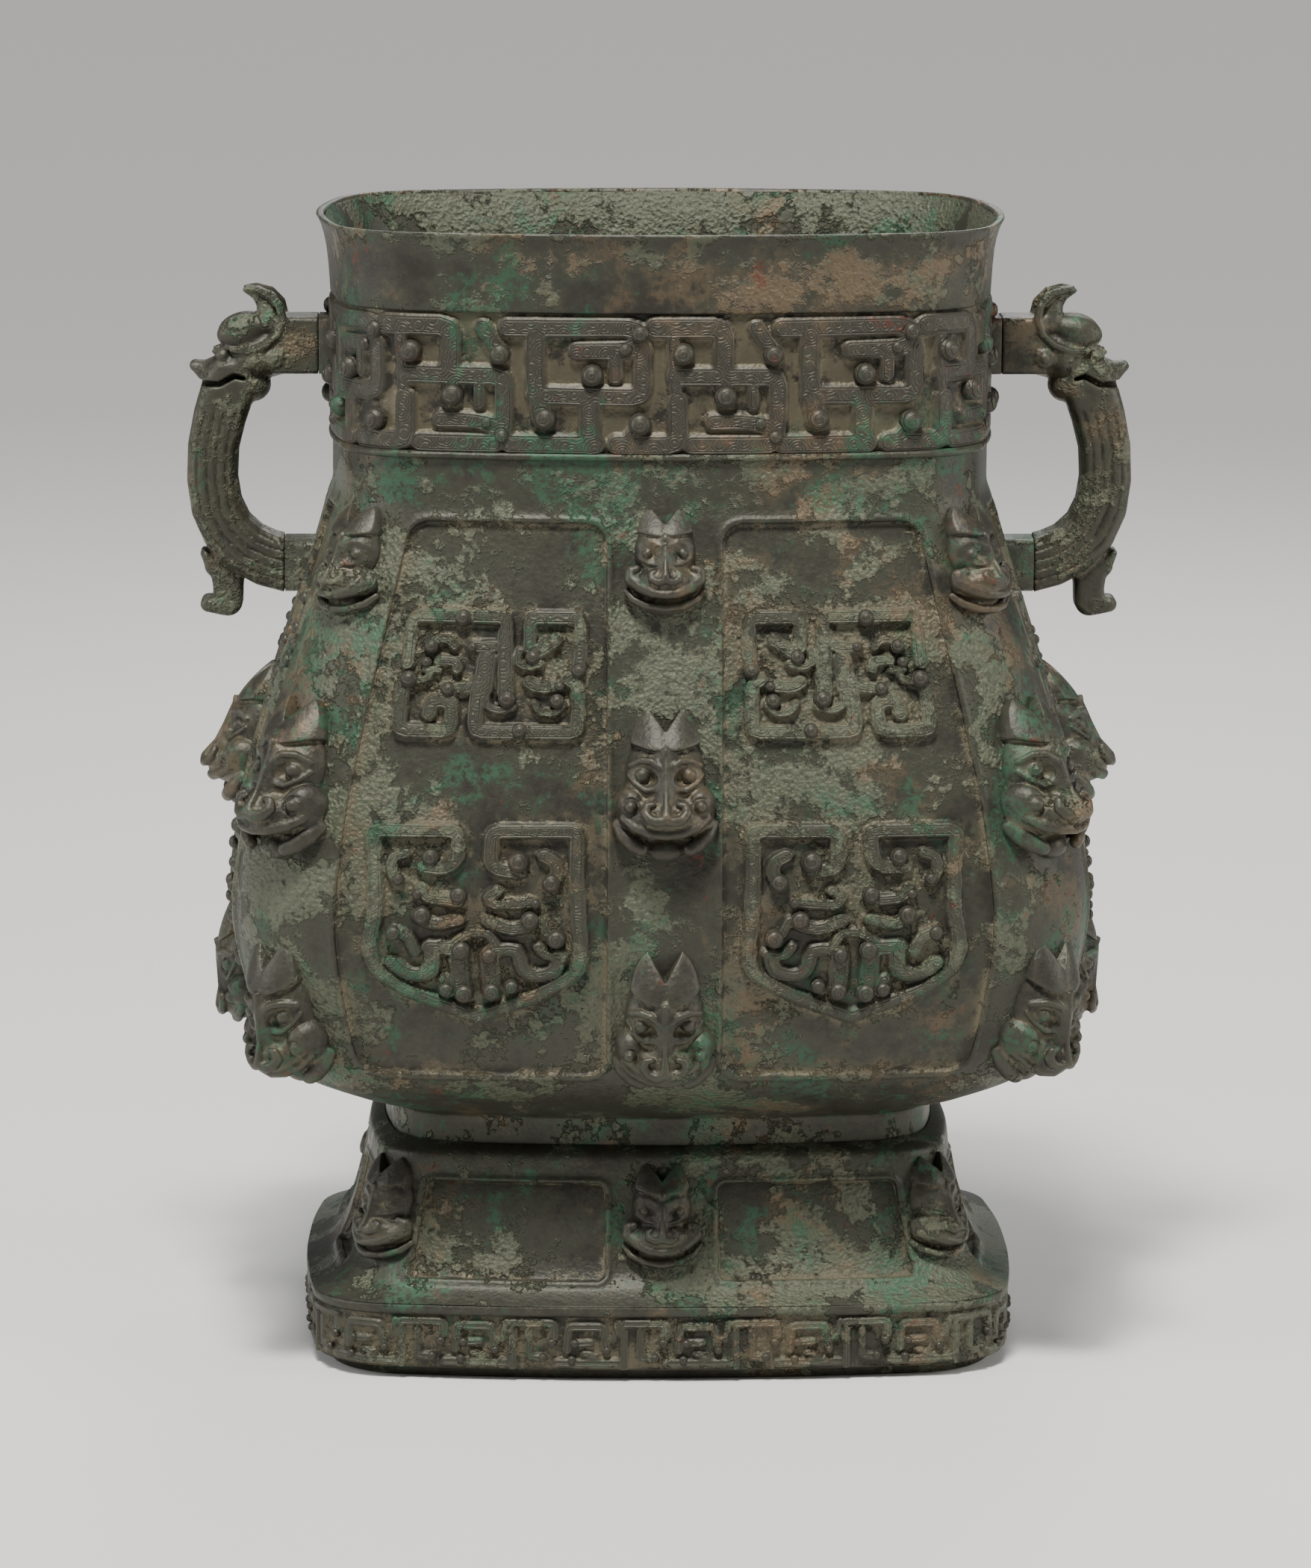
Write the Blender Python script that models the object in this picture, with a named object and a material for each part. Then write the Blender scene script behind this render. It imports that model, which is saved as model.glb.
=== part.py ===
"""A cast bronze wine vessel of rectangular section with two beast handles.

Metres, +Z up. The broad front faces -Y, and the origin is on the ground under the middle.
The vessel with its foot, masks and relief is one casting. The two handles are cast apart
and joined to stubs on its narrow sides."""

import math
from collections import namedtuple

import bmesh
import bpy
from mathutils import Matrix, Vector

# Heights above the ground
HEIGHT = 0.500
BASE_STRIP_TOP = 0.005
FOOT_BAND_TOP = 0.029
FOOT_LEDGE_Z = 0.034
FOOT_TOP_Z = 0.095
STEM_TOP_Z = 0.110
FLOOR_Z = 0.1185
HOLLOW_TOP_Z = 0.1125
BELLY_Z = 0.205
WAIST_Z = 0.385
RIDGE_Z = 0.403
BAND_TOP_Z = 0.466

# Outer width and depth of each main section
RIM_WIDTH, RIM_DEPTH = 0.302, 0.222
COLLAR_WIDTH, COLLAR_DEPTH = 0.290, 0.211
NECK_WIDTH, NECK_DEPTH = 0.2855, 0.2065
WAIST_WIDTH, WAIST_DEPTH = 0.288, 0.209
BELLY_WIDTH, BELLY_DEPTH = 0.379, 0.272
STEM_WIDTH, STEM_DEPTH = 0.244, 0.170
FOOT_TOP_WIDTH, FOOT_TOP_DEPTH = 0.258, 0.184
FOOT_LEDGE_WIDTH, FOOT_LEDGE_DEPTH = 0.315, 0.233
FOOT_BAND_WIDTH, FOOT_BAND_DEPTH = 0.311, 0.229
BASE_WIDTH, BASE_DEPTH = 0.300, 0.219

# Corner radius of each main section, and how far its sides bow out
RIM_CORNER = 0.046
NECK_CORNER = 0.040
BELLY_CORNER = 0.050
STEM_CORNER = 0.034
FOOT_CORNER = 0.028
BASE_CORNER = 0.036
NECK_BOW = 0.011
BODY_BOW = 0.008

# The casting
WALL = 0.0045
LIP_EDGE = 0.0030
LIP_REACH = 0.014
RIDGE_PROUD = 0.0020
RIDGE_TALL = 0.0030

# Sunk panels beside the middle strip of each side
STRIP_WIDTH = 0.050
PANEL_TOP_Z = 0.376
PANEL_BOTTOM_Z = 0.139
PANEL_SUNK = 0.0020
PANEL_BORDER = 0.0015
FOOT_PANEL_TOP_Z = 0.083
FOOT_PANEL_BOTTOM_Z = 0.043

# Relief strokes: how proud they stand, and how deep they are rooted in the wall
RELIEF_PROUD = 0.0030
BAND_PROUD = 0.0025
ROOTED = 0.0012
STROKE_WIDTH = 0.0062
NECK_STROKE_WIDTH = 0.0085
FOOT_STROKE_WIDTH = 0.0045
NECK_UNITS = 8
FOOT_UNITS = 14

# Blocks of relief in the panels: height of the bottom and top edge, and the side margin
UPPER_BLOCK_BOTTOM_Z, UPPER_BLOCK_TOP_Z = 0.286, 0.341
UPPER_BLOCK_MARGIN = 0.0075
LOWER_BLOCK_BOTTOM_Z, LOWER_BLOCK_TOP_Z = 0.162, 0.251
LOWER_BLOCK_MARGIN = 0.0040

# Beast masks: width, height and how far they stand out
LARGE_MASK = (0.046, 0.070, 0.022)
SMALL_MASK = (0.035, 0.046, 0.014)
MASK_ROOT = 0.0020
UPPER_MASK_Z = 0.361
MIDDLE_MASK_Z = 0.268
LOWER_MASK_Z = 0.164
FOOT_MASK_Z = 0.070

# Handles: the strap, its roots and the stubs that carry them
HANDLE_DEPTH = 0.026
HANDLE_REACH = 0.2085
STUB_FACE_UPPER = 0.1500
STUB_FACE_LOWER = 0.1655
STUB_ROOT = 0.0025
UPPER_ROOT_Z = 0.441
LOWER_ROOT_Z = 0.344
ROOT_TALL = 0.024
JOINT_GAP = 0.0003

CORNER_STEPS = 3
CORNER_TURN = math.radians(28.0)
FLAT_ANGLE = math.radians(4.0)
SIDES = 4

Section = namedtuple("Section", "z half_width half_depth corner bow")
Face = namedtuple("Face", "bow radius centre core end")


def section(z, width, depth, corner, bow):
    return Section(z, width / 2, depth / 2, corner, bow)


def mix(low, high, up, out):
    """The section between two others: up is its share of the height, out of the width."""
    shape = [a + (b - a) * out for a, b in zip(low[1:], high[1:])]
    return Section(low.z + (high.z - low.z) * up, *shape)


def face_of(sec, side):
    """One side of a section as an arc: its centre, radius and where it meets the corners."""
    half_length, half_depth = sec.half_width, sec.half_depth
    bow, side_bow = sec.bow, sec.bow * (half_depth / half_length) ** 2
    if side % 2:
        half_length, half_depth = half_depth, half_length
        bow, side_bow = side_bow, bow
    core = half_length - sec.corner - side_bow
    radius = (core * core + bow * bow) / (2 * bow)
    end = core * (radius + sec.corner) / radius
    return Face(bow, radius + sec.corner, half_depth - radius - sec.corner, core, end)


def turned(side, along, out):
    """A point given along and out from one side, turned into x and y."""
    angle = side * math.pi / 2
    x = along * math.cos(angle) + out * math.sin(angle)
    y = along * math.sin(angle) - out * math.cos(angle)
    return Vector((x, y))


def face_point(sec, side, along):
    """A point of one side, and the direction square to it."""
    face = face_of(sec, side)
    rise = math.sqrt(face.radius ** 2 - along ** 2)
    point = turned(side, along, face.centre + rise)
    normal = turned(side, along / face.radius, rise / face.radius)
    return point, normal


def corner_angles(sec, corner):
    """The angles, from the side before it, between which a corner turns."""
    before = face_of(sec, corner)
    after = face_of(sec, corner + 1)
    start = math.asin(before.end / before.radius)
    stop = math.pi / 2 - math.asin(after.end / after.radius)
    return start, stop


def corner_point(sec, corner, angle):
    face = face_of(sec, corner)
    out = face.centre + face.radius - face.bow - sec.corner
    along = face.core + sec.corner * math.sin(angle)
    out += sec.corner * math.cos(angle)
    point = turned(corner, along, out)
    return point, turned(corner, math.sin(angle), math.cos(angle))


def outline(sec):
    """The points around a section, from the left end of the front, counterclockwise."""
    strip = STRIP_WIDTH / 2
    points = []
    for side in range(SIDES):
        end = face_of(sec, side).end
        middle = (end + strip) / 2
        stops = (-end, -strip, strip, end) if side % 2 else (-end, -middle, -strip, strip, middle, end)
        points += [face_point(sec, side, along)[0] for along in stops]
        start, stop = corner_angles(sec, side)
        for step in range(1, CORNER_STEPS):
            angle = start + (stop - start) * step / CORNER_STEPS
            points.append(corner_point(sec, side, angle)[0])
    return points


def around(sec, distance):
    """The point and square direction at a distance round a section from the middle of the front."""
    distance %= girth(sec)
    side = 0
    half = face_arc(sec, 0) / 2
    if distance <= half:
        return face_point_at(sec, 0, distance)
    distance -= half
    while True:
        start, stop = corner_angles(sec, side)
        turn = (stop - start) * sec.corner
        if distance <= turn:
            return corner_point(sec, side, start + distance / sec.corner)
        distance -= turn
        side += 1
        length = face_arc(sec, side)
        if distance <= length or side == SIDES:
            return face_point_at(sec, side % SIDES, distance - length / 2)
        distance -= length


def face_arc(sec, side):
    face = face_of(sec, side)
    return 2 * face.radius * math.asin(face.end / face.radius)


def face_point_at(sec, side, arc):
    face = face_of(sec, side)
    return face_point(sec, side, face.radius * math.sin(arc / face.radius))


def girth(sec):
    corners = sum(b - a for a, b in (corner_angles(sec, k) for k in range(SIDES)))
    return sum(face_arc(sec, k) for k in range(SIDES)) + corners * sec.corner


RIM = section(HEIGHT, RIM_WIDTH, RIM_DEPTH, RIM_CORNER, NECK_BOW)
COLLAR = section(BAND_TOP_Z, COLLAR_WIDTH, COLLAR_DEPTH, NECK_CORNER, NECK_BOW)
NECK = section(BAND_TOP_Z, NECK_WIDTH, NECK_DEPTH, NECK_CORNER, NECK_BOW)
WAIST = section(WAIST_Z, WAIST_WIDTH, WAIST_DEPTH, NECK_CORNER, NECK_BOW)
BELLY = section(BELLY_Z, BELLY_WIDTH, BELLY_DEPTH, BELLY_CORNER, BODY_BOW)
STEM = section(STEM_TOP_Z, STEM_WIDTH, STEM_DEPTH, STEM_CORNER, BODY_BOW)
FOOT_TOP = section(FOOT_TOP_Z, FOOT_TOP_WIDTH, FOOT_TOP_DEPTH, FOOT_CORNER, BODY_BOW)
LEDGE = section(FOOT_LEDGE_Z, FOOT_LEDGE_WIDTH, FOOT_LEDGE_DEPTH, BASE_CORNER, BODY_BOW)
FOOT_BAND = section(FOOT_BAND_TOP, FOOT_BAND_WIDTH, FOOT_BAND_DEPTH, BASE_CORNER, BODY_BOW)
BASE = section(BASE_STRIP_TOP, BASE_WIDTH, BASE_DEPTH, BASE_CORNER, BODY_BOW)

# Shares of the height and of the width, down from the waist to the belly, from there to the
# stem; then the shares of the width at the foot panels' edges
SHOULDER_CURVE = ((0.13, 0.14), (0.32, 0.38), (0.53, 0.64), (0.76, 0.88))
PANEL_TOP_SHARE = 0.08
UNDER_CURVE = ((0.40, 0.085), (0.80, 0.38), (0.92, 0.72))
PANEL_BOTTOM_SHARE = 0.225
FOOT_PANEL_SHARES = (0.05, 0.46)


def body_sections():
    """The outer sections from the waist down to the stem."""
    panel_top = mix(WAIST, BELLY, 0.0, PANEL_TOP_SHARE)._replace(z=PANEL_TOP_Z)
    shoulder = [mix(WAIST, BELLY, up, out) for up, out in SHOULDER_CURVE]
    panel_bottom = mix(BELLY, STEM, 0.0, PANEL_BOTTOM_SHARE)._replace(z=PANEL_BOTTOM_Z)
    under = [mix(BELLY, STEM, up, out) for up, out in UNDER_CURVE]
    return [WAIST, panel_top, *shoulder, BELLY, under[0], panel_bottom, *under[1:], STEM]


def foot_sections():
    """The outer sections of the foot, from the stem's lower end to the ground."""
    stem_foot = STEM._replace(z=FOOT_TOP_Z + (FOOT_TOP_WIDTH - STEM_WIDTH) / 4)
    panel_top = mix(FOOT_TOP, LEDGE, 0.0, FOOT_PANEL_SHARES[0])._replace(z=FOOT_PANEL_TOP_Z)
    panel_bottom = mix(FOOT_TOP, LEDGE, 0.0, FOOT_PANEL_SHARES[1])._replace(z=FOOT_PANEL_BOTTOM_Z)
    return [stem_foot, FOOT_TOP, panel_top, panel_bottom, LEDGE, FOOT_BAND,
            FOOT_BAND._replace(z=BASE_STRIP_TOP), BASE, BASE._replace(z=0.0)]


def neck_sections():
    """The outer sections of the lip, the plain collar and the relief band."""
    proud = 2 * RIDGE_PROUD
    ridge = section(RIDGE_Z, NECK_WIDTH + proud, NECK_DEPTH + proud, NECK_CORNER, NECK_BOW)
    return [RIM, mix(COLLAR, RIM, 0.0, 0.8)._replace(z=HEIGHT - LIP_EDGE),
            mix(COLLAR, RIM, 0.0, 0.2)._replace(z=HEIGHT - LIP_REACH), COLLAR, NECK,
            NECK._replace(z=RIDGE_Z + RIDGE_TALL), ridge._replace(z=RIDGE_Z + RIDGE_TALL),
            ridge, WAIST._replace(z=RIDGE_Z - RIDGE_TALL)]


def shrunk(sec, inset, z):
    """A section moved in by an even inset, and to a new height."""
    return Section(z, sec.half_width - inset, sec.half_depth - inset,
                   max(sec.corner - inset, inset), sec.bow)


def inner_sections(sections):
    """The same sections moved in square to the wall by its thickness."""
    inner = []
    for i, sec in enumerate(sections):
        above = sections[max(i - 1, 0)]
        below = sections[min(i + 1, len(sections) - 1)]
        slope = math.atan2(below.half_width - above.half_width, above.z - below.z)
        inner.append(shrunk(sec, WALL * math.cos(slope), sec.z - WALL * math.sin(slope)))
    return inner


def wall_at(z):
    """The outer section of the wall at any height, between its ruled sections."""
    for above, below in zip(PROFILE, PROFILE[1:]):
        if below.z <= z <= above.z and above.z > below.z:
            share = (above.z - z) / (above.z - below.z)
            return mix(above, below, share, share)
    return PROFILE[0] if z > HEIGHT else PROFILE[-1]


PROFILE = neck_sections() + body_sections() + foot_sections()


def new_object(name, mesh):
    thing = bpy.data.objects.new(name, mesh)
    bpy.context.scene.collection.objects.link(thing)
    return thing


def mesh_from(name, points, faces):
    mesh = bpy.data.meshes.new(name)
    mesh.from_pydata([tuple(p) for p in points], [], faces)
    return mesh


def close_faces(mesh):
    """Turns every face of a closed mesh outwards and splits it into triangles."""
    work = bmesh.new()
    work.from_mesh(mesh)
    bmesh.ops.recalc_face_normals(work, faces=work.faces)
    bmesh.ops.triangulate(work, faces=work.faces)
    work.to_mesh(mesh)
    work.free()
    return mesh


def joined(name, meshes):
    """One mesh that holds copies of several, as separate bodies."""
    work = bmesh.new()
    for mesh in meshes:
        work.from_mesh(mesh)
    whole = bpy.data.meshes.new(name)
    work.to_mesh(whole)
    work.free()
    return whole


def combined(name, first, others, operation="UNION"):
    """The first mesh with each of the others added to it or cut from it."""
    base = new_object(name, first)
    tools = []
    for number, mesh in enumerate(others):
        tool = new_object(f"{name}_tool_{number}", mesh)
        cut = base.modifiers.new("boolean", "BOOLEAN")
        cut.operation = operation
        cut.solver = "EXACT"
        cut.use_self = True
        cut.object = tool
        tools.append(tool)
    bpy.context.view_layer.update()
    graph = bpy.context.evaluated_depsgraph_get()
    result = bpy.data.meshes.new_from_object(base.evaluated_get(graph))
    for thing in [base, *tools]:
        bpy.data.objects.remove(thing)
    return result


def loft(name, sections, rows):
    """A closed skin over rows of points, capped at both ends."""
    count = len(rows[0])
    points = []
    for sec, row in zip(sections, rows):
        points += [(p.x, p.y, sec.z) for p in row]
    faces = [list(range(count))]
    for i in range(len(rows) - 1):
        for k in range(count):
            after = (k + 1) % count
            faces.append([i * count + k, i * count + after,
                          (i + 1) * count + after, (i + 1) * count + k])
    faces.append(list(range((len(rows) - 1) * count, len(rows) * count)))
    return mesh_from(name, points, faces)


def vessel_shell():
    """The cavity, the lip, the outside and the hollow of the foot in one closed skin."""
    throat = [neck_sections()[2], NECK, NECK._replace(z=RIDGE_Z)]
    cavity = inner_sections([*throat, WAIST, body_sections()[4], BELLY, *body_sections()[8::2], STEM])
    cavity = [shrunk(RIM, LIP_EDGE, HEIGHT)] + [s for s in cavity if s.z > FLOOR_Z + WALL / 2]
    floor = shrunk(cavity[-1], WALL, FLOOR_Z)
    hollow = inner_sections([*foot_sections()[:2], foot_sections()[3]])
    hollow += [shrunk(FOOT_BAND, WALL, FOOT_LEDGE_Z), shrunk(BASE, WALL, 0.0)]
    roof = shrunk(STEM, WALL, HOLLOW_TOP_Z)
    sections = [floor, *cavity[::-1], *PROFILE, *hollow[::-1], roof]
    rows = [outline(s) for s in sections]
    mesh = loft("shell", sections, rows)
    sink_panels(mesh)
    return close_faces(mesh)


def sink_panels(mesh):
    """Presses in the two panels of each side, on the body and on the foot."""
    work = bmesh.new()
    work.from_mesh(mesh)
    bmesh.ops.recalc_face_normals(work, faces=work.faces)
    outer = [f for f in work.faces if is_outside(f)]
    for low, high in ((PANEL_BOTTOM_Z, PANEL_TOP_Z), (FOOT_PANEL_BOTTOM_Z, FOOT_PANEL_TOP_Z)):
        for side in range(SIDES):
            for half in (-1, 1):
                panel = [f for f in outer if f.is_valid and in_panel(f, side, half, low, high)]
                bmesh.ops.inset_region(work, faces=panel, thickness=PANEL_BORDER,
                                       depth=-PANEL_SUNK, use_even_offset=True)
    work.to_mesh(mesh)
    work.free()


def is_outside(face):
    middle = face.calc_center_median()
    return face.normal.dot(Vector((middle.x, middle.y, 0))) > 0.001


def in_panel(face, side, half, low, high):
    """Whether a face lies between the strip and the corner on one half of one side."""
    middle = face.calc_center_median()
    if not low < middle.z < high:
        return False
    angle = side * math.pi / 2
    along = middle.x * math.cos(angle) + middle.y * math.sin(angle)
    out = middle.x * math.sin(angle) - middle.y * math.cos(angle)
    end = face_of(wall_at(middle.z), side).end
    return out > 0 and STRIP_WIDTH / 2 < half * along < end


def ribbon(path, width):
    """The outline of a flat stroke of even width along an open path, with mitred corners."""
    left, right = [], []
    points = [Vector(p) for p in path]
    for i, point in enumerate(points):
        before = (point - points[i - 1]).normalized() if i else None
        after = (points[i + 1] - point).normalized() if i + 1 < len(points) else None
        ahead = ((before or after) + (after or before)).normalized()
        square = Vector((-ahead.y, ahead.x))
        reach = width / 2 / max(0.5, ahead.dot(after or before))
        left.append(point + square * reach)
        right.append(point - square * reach)
    return left + right[::-1]


def raised(shape, place, proud):
    """A solid over a flat outline laid on the wall."""
    foot, top = [], []
    for point in shape:
        spot, normal = place(*point)
        foot.append(spot - normal * ROOTED)
        top.append(spot + normal * proud)
    count = len(shape)
    sides = [[k, (k + 1) % count, count + (k + 1) % count, count + k] for k in range(count)]
    faces = sides + [list(range(count)), list(range(count, 2 * count))]
    return close_faces(mesh_from("stroke", foot + top, faces))


# The strokes of each block, as shares of its width from the middle strip outwards, and of its
# height from the bottom up
UPPER_STROKES = (
    ((0.90, 0.60), (0.90, 0.94), (0.42, 0.94), (0.42, 0.58)),
    ((0.95, 0.32), (0.95, 0.05), (0.66, 0.05), (0.66, 0.33)),
    ((0.29, 0.66), (0.29, 0.94), (0.04, 0.94), (0.04, 0.55)),
    ((0.55, 0.60), (0.55, 0.05), (0.04, 0.05), (0.04, 0.42)),
)
SHIELD_HOOK = ((0.33, 0.77), (0.46, 0.77), (0.46, 0.94), (0.06, 0.94), (0.05, 0.28),
               (0.50, 0.04))
SHIELD_JAW = ((0.18, 0.58), (0.40, 0.58), (0.40, 0.37), (0.20, 0.37))

# One unit of the neck's meander, as shares of its own width and height
NECK_STROKES = (
    ((0.05, 0.13), (0.05, 0.56), (0.40, 0.56), (0.40, 0.17)),
    ((0.525, 0.24), (0.525, 0.92), (1.20, 0.92), (1.20, 0.36)),
    ((0.64, 0.60), (0.97, 0.60)),
)
FOOT_STROKES = (((0.15, 0.14), (0.15, 0.84), (0.80, 0.84)),)


def panel_place(side, half, margin, bottom, top, width, height):
    """A function that lays flat block coordinates on a sunk panel."""
    def place(x, y):
        z = bottom + (top - bottom) * y / height
        sec = wall_at(z)
        end = face_of(sec, side).end
        start = STRIP_WIDTH / 2 + margin
        along = start + (end - margin - start) * x / width
        spot, square = face_point(sec, side, half * along)
        return wall_spot(spot, square, z, -PANEL_SUNK)
    return place


def wall_spot(spot, square, z, lift):
    """A point on the wall or off it, and the direction square to its slope."""
    above, below = wall_at(z + 0.004), wall_at(z - 0.004)
    slope = math.atan2(below.half_width - above.half_width, 0.008)
    normal = Vector((square.x * math.cos(slope), square.y * math.cos(slope), math.sin(slope)))
    return Vector((spot.x, spot.y, z)) + normal * lift, normal


def block_relief(side, half):
    """The upper dragon block and the lower shield of one panel."""
    wide = face_of(wall_at(UPPER_BLOCK_BOTTOM_Z), side).end - STRIP_WIDTH / 2
    pieces = []
    width, height = wide - 2 * UPPER_BLOCK_MARGIN, UPPER_BLOCK_TOP_Z - UPPER_BLOCK_BOTTOM_Z
    place = panel_place(side, half, UPPER_BLOCK_MARGIN, UPPER_BLOCK_BOTTOM_Z,
                        UPPER_BLOCK_TOP_Z, width, height)
    narrow = min(1.0, width / (1.4 * height))
    for path in UPPER_STROKES[:4 - side % 2 * 2]:
        line = [(x * width, y * height) for x, y in path]
        pieces.append(raised(ribbon(line, STROKE_WIDTH * narrow), place, RELIEF_PROUD))

    wide = face_of(wall_at(LOWER_BLOCK_BOTTOM_Z), side).end - STRIP_WIDTH / 2
    width, height = wide - 2 * LOWER_BLOCK_MARGIN, LOWER_BLOCK_TOP_Z - LOWER_BLOCK_BOTTOM_Z
    place = panel_place(side, half, LOWER_BLOCK_MARGIN, LOWER_BLOCK_BOTTOM_Z,
                        LOWER_BLOCK_TOP_Z, width, height)
    narrow = min(1.0, width / height)
    whole = [*SHIELD_HOOK, *((1 - x, y) for x, y in SHIELD_HOOK[-2::-1])]
    line = [(x * width, y * height) for x, y in whole]
    pieces.append(raised(ribbon(line, STROKE_WIDTH * narrow), place, RELIEF_PROUD))
    for mirror in (False, True)[:2 - side % 2 * 2]:
        line = [((1 - x if mirror else x) * width, y * height) for x, y in SHIELD_JAW]
        pieces.append(raised(ribbon(line, STROKE_WIDTH * narrow), place, RELIEF_PROUD))
    return pieces


def band_place(bottom, top, unit, count):
    """A function that lays one unit of a band's relief on the wall."""
    ring = wall_at((bottom + top) / 2)
    start = girth(ring) * unit / count

    def place(x, y):
        spot, square = around(ring, start + x)
        return Vector((spot.x, spot.y, bottom + y)), Vector((square.x, square.y, 0))
    return place


def bent(line, place):
    """A line with more points where it turns a corner of the wall."""
    points = line[:1]
    for start, end in zip(line, line[1:]):
        turn = place(*start)[1].angle(place(*end)[1])
        count = math.ceil(turn / CORNER_TURN + 0.01)
        points += [Vector(start).lerp(Vector(end), k / count) for k in range(1, count + 1)]
    return points


def band_relief(bottom, top, count, strokes, width):
    """A meander that runs all round between two heights."""
    length = girth(wall_at((bottom + top) / 2)) / count
    height = top - bottom
    pieces = []
    for unit in range(count):
        place = band_place(bottom, top, unit, count)
        for path in strokes:
            line = bent([(x * length, y * height) for x, y in path], place)
            if not near_root(place, line):
                pieces.append(raised(ribbon(line, width), place, BAND_PROUD))
    return pieces


def near_root(place, line):
    """Whether a stroke would run under the upper root of a handle."""
    reach = HANDLE_DEPTH / 2 + NECK_STROKE_WIDTH
    spots = [place(x, y)[0] for x, y in line]
    return any(abs(s.y) < reach and abs(s.x) > reach and s.z > UPPER_ROOT_Z - ROOT_TALL for s in spots)


# A mask's columns, as shares of half its width; its rows from the ears down, as a share of the
# height, of half the width, and how far out each column stands; and the outlines of the ears
# and of the chin on the wall
MaskForm = namedtuple("MaskForm", "columns rows ears chin")
LARGE_FORM = MaskForm(
    (0.0, 0.42, 0.74),
    ((0.16, 0.82, (0.42, 0.84, 0.62)),
     (0.07, 0.86, (0.84, 0.60, 0.52)),
     (-0.06, 0.88, (0.88, 0.80, 0.60)),
     (-0.24, 1.00, (1.00, 0.72, 0.66)),
     (-0.32, 0.86, (0.66, 0.54, 0.42)),
     (-0.39, 0.66, (0.82, 0.70, 0.36))),
    ((0.0, 0.22), (0.40, 0.50), (0.70, 0.32), (0.90, 0.14)),
    ((0.0, -0.50), (0.24, -0.49), (0.42, -0.46), (0.56, -0.40)))
SMALL_FORM = MaskForm(
    (0.0, 0.52),
    ((0.14, 0.80, (0.42, 0.86)),
     (-0.06, 0.86, (0.88, 0.74)),
     (-0.26, 1.00, (1.00, 0.72)),
     (-0.38, 0.80, (0.84, 0.64))),
    ((0.0, 0.20), (0.44, 0.50), (0.84, 0.16)),
    ((0.0, -0.50), (0.34, -0.48), (0.66, -0.42)))


def mask(size, form):
    """A beast's head on a flat back: x across, y up and z out of the wall."""
    width, height, depth = size
    points = []

    def row(shares):
        for x, y, z in [(-x, y, z) for x, y, z in shares[:0:-1]] + list(shares):
            points.append((x * width / 2, y * height, z * depth))

    back = -MASK_ROOT / depth
    row([(x, y, back) for x, y in form.ears])
    for level, half, outs in form.rows:
        row([*((x * half, level, z) for x, z in zip(form.columns, outs)), (half, level, back / 2)])
    row([(x, y, back) for x, y in form.chin])
    across = 2 * len(form.columns) + 1
    down = len(points) // across
    faces = [[i * across + k, i * across + k + 1, (i + 1) * across + k + 1, (i + 1) * across + k]
             for i in range(down - 1) for k in range(across - 1)]
    last = (down - 1) * across
    rim = [*range(across), *(i * across + across - 1 for i in range(1, down - 1)),
           *range(last + across - 1, last - 1, -1), *(i * across for i in range(down - 2, 0, -1))]
    points.append((0.0, 0.0, back * depth))
    fan = [[a, b, len(points) - 1] for a, b in zip(rim, rim[1:] + rim[:1])]
    return close_faces(mesh_from("mask", points, faces + fan))


def hung_mask(template, spot_at, axis):
    """A copy of a mask whose back follows the wall and whose features stand along one axis."""
    mesh = template.copy()
    for vertex in mesh.vertices:
        across, up, out = vertex.co
        vertex.co = spot_at(across, up) + axis * out
    return close_faces(mesh)


def side_mask(template, side, z):
    def spot_at(across, up):
        sec = wall_at(z + up * math.cos(slope))
        spot, square = face_point(sec, side, across)
        return Vector((spot.x, spot.y, z + up * math.cos(slope)))

    above, below = wall_at(z + 0.02), wall_at(z - 0.02)
    slope = math.atan2(below.half_width - above.half_width, 0.04)
    square = turned(side, 0.0, math.cos(slope))
    return hung_mask(template, spot_at, Vector((square.x, square.y, math.sin(slope))))


def corner_mask(template, corner, z):
    def spot_at(across, up):
        sec = wall_at(z + up * math.cos(slope))
        start, stop = corner_angles(sec, corner)
        angle = (start + stop) / 2 + across / sec.corner
        spot = corner_point(sec, corner, max(start, min(stop, angle)))[0]
        side = turned(corner, 1.0, 0.0) if angle < start else turned(corner + 1, 1.0, 0.0)
        past = (min(0.0, angle - start) + max(0.0, angle - stop)) * sec.corner
        spot += side * past
        return Vector((spot.x, spot.y, z + up * math.cos(slope)))

    sec = wall_at(z)
    above, below = wall_at(z + 0.02), wall_at(z - 0.02)
    slope = math.atan2(below.half_width - above.half_width, 0.04)
    square = corner_point(sec, corner, sum(corner_angles(sec, corner)) / 2)[1] * math.cos(slope)
    return hung_mask(template, spot_at, Vector((square.x, square.y, math.sin(slope))))


def all_masks():
    small, large = mask(SMALL_MASK, SMALL_FORM), mask(LARGE_MASK, LARGE_FORM)
    masks = []
    for side in range(SIDES):
        rows = [(large, MIDDLE_MASK_Z), (large, LOWER_MASK_Z)]
        small_rows = [(small, UPPER_MASK_Z), (small, FOOT_MASK_Z)]
        for template, z in rows + small_rows * (side % 2 == 0):
            masks.append(side_mask(template, side, z))
        for template, z in rows + small_rows:
            masks.append(corner_mask(template, side, z))
    return masks


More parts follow.
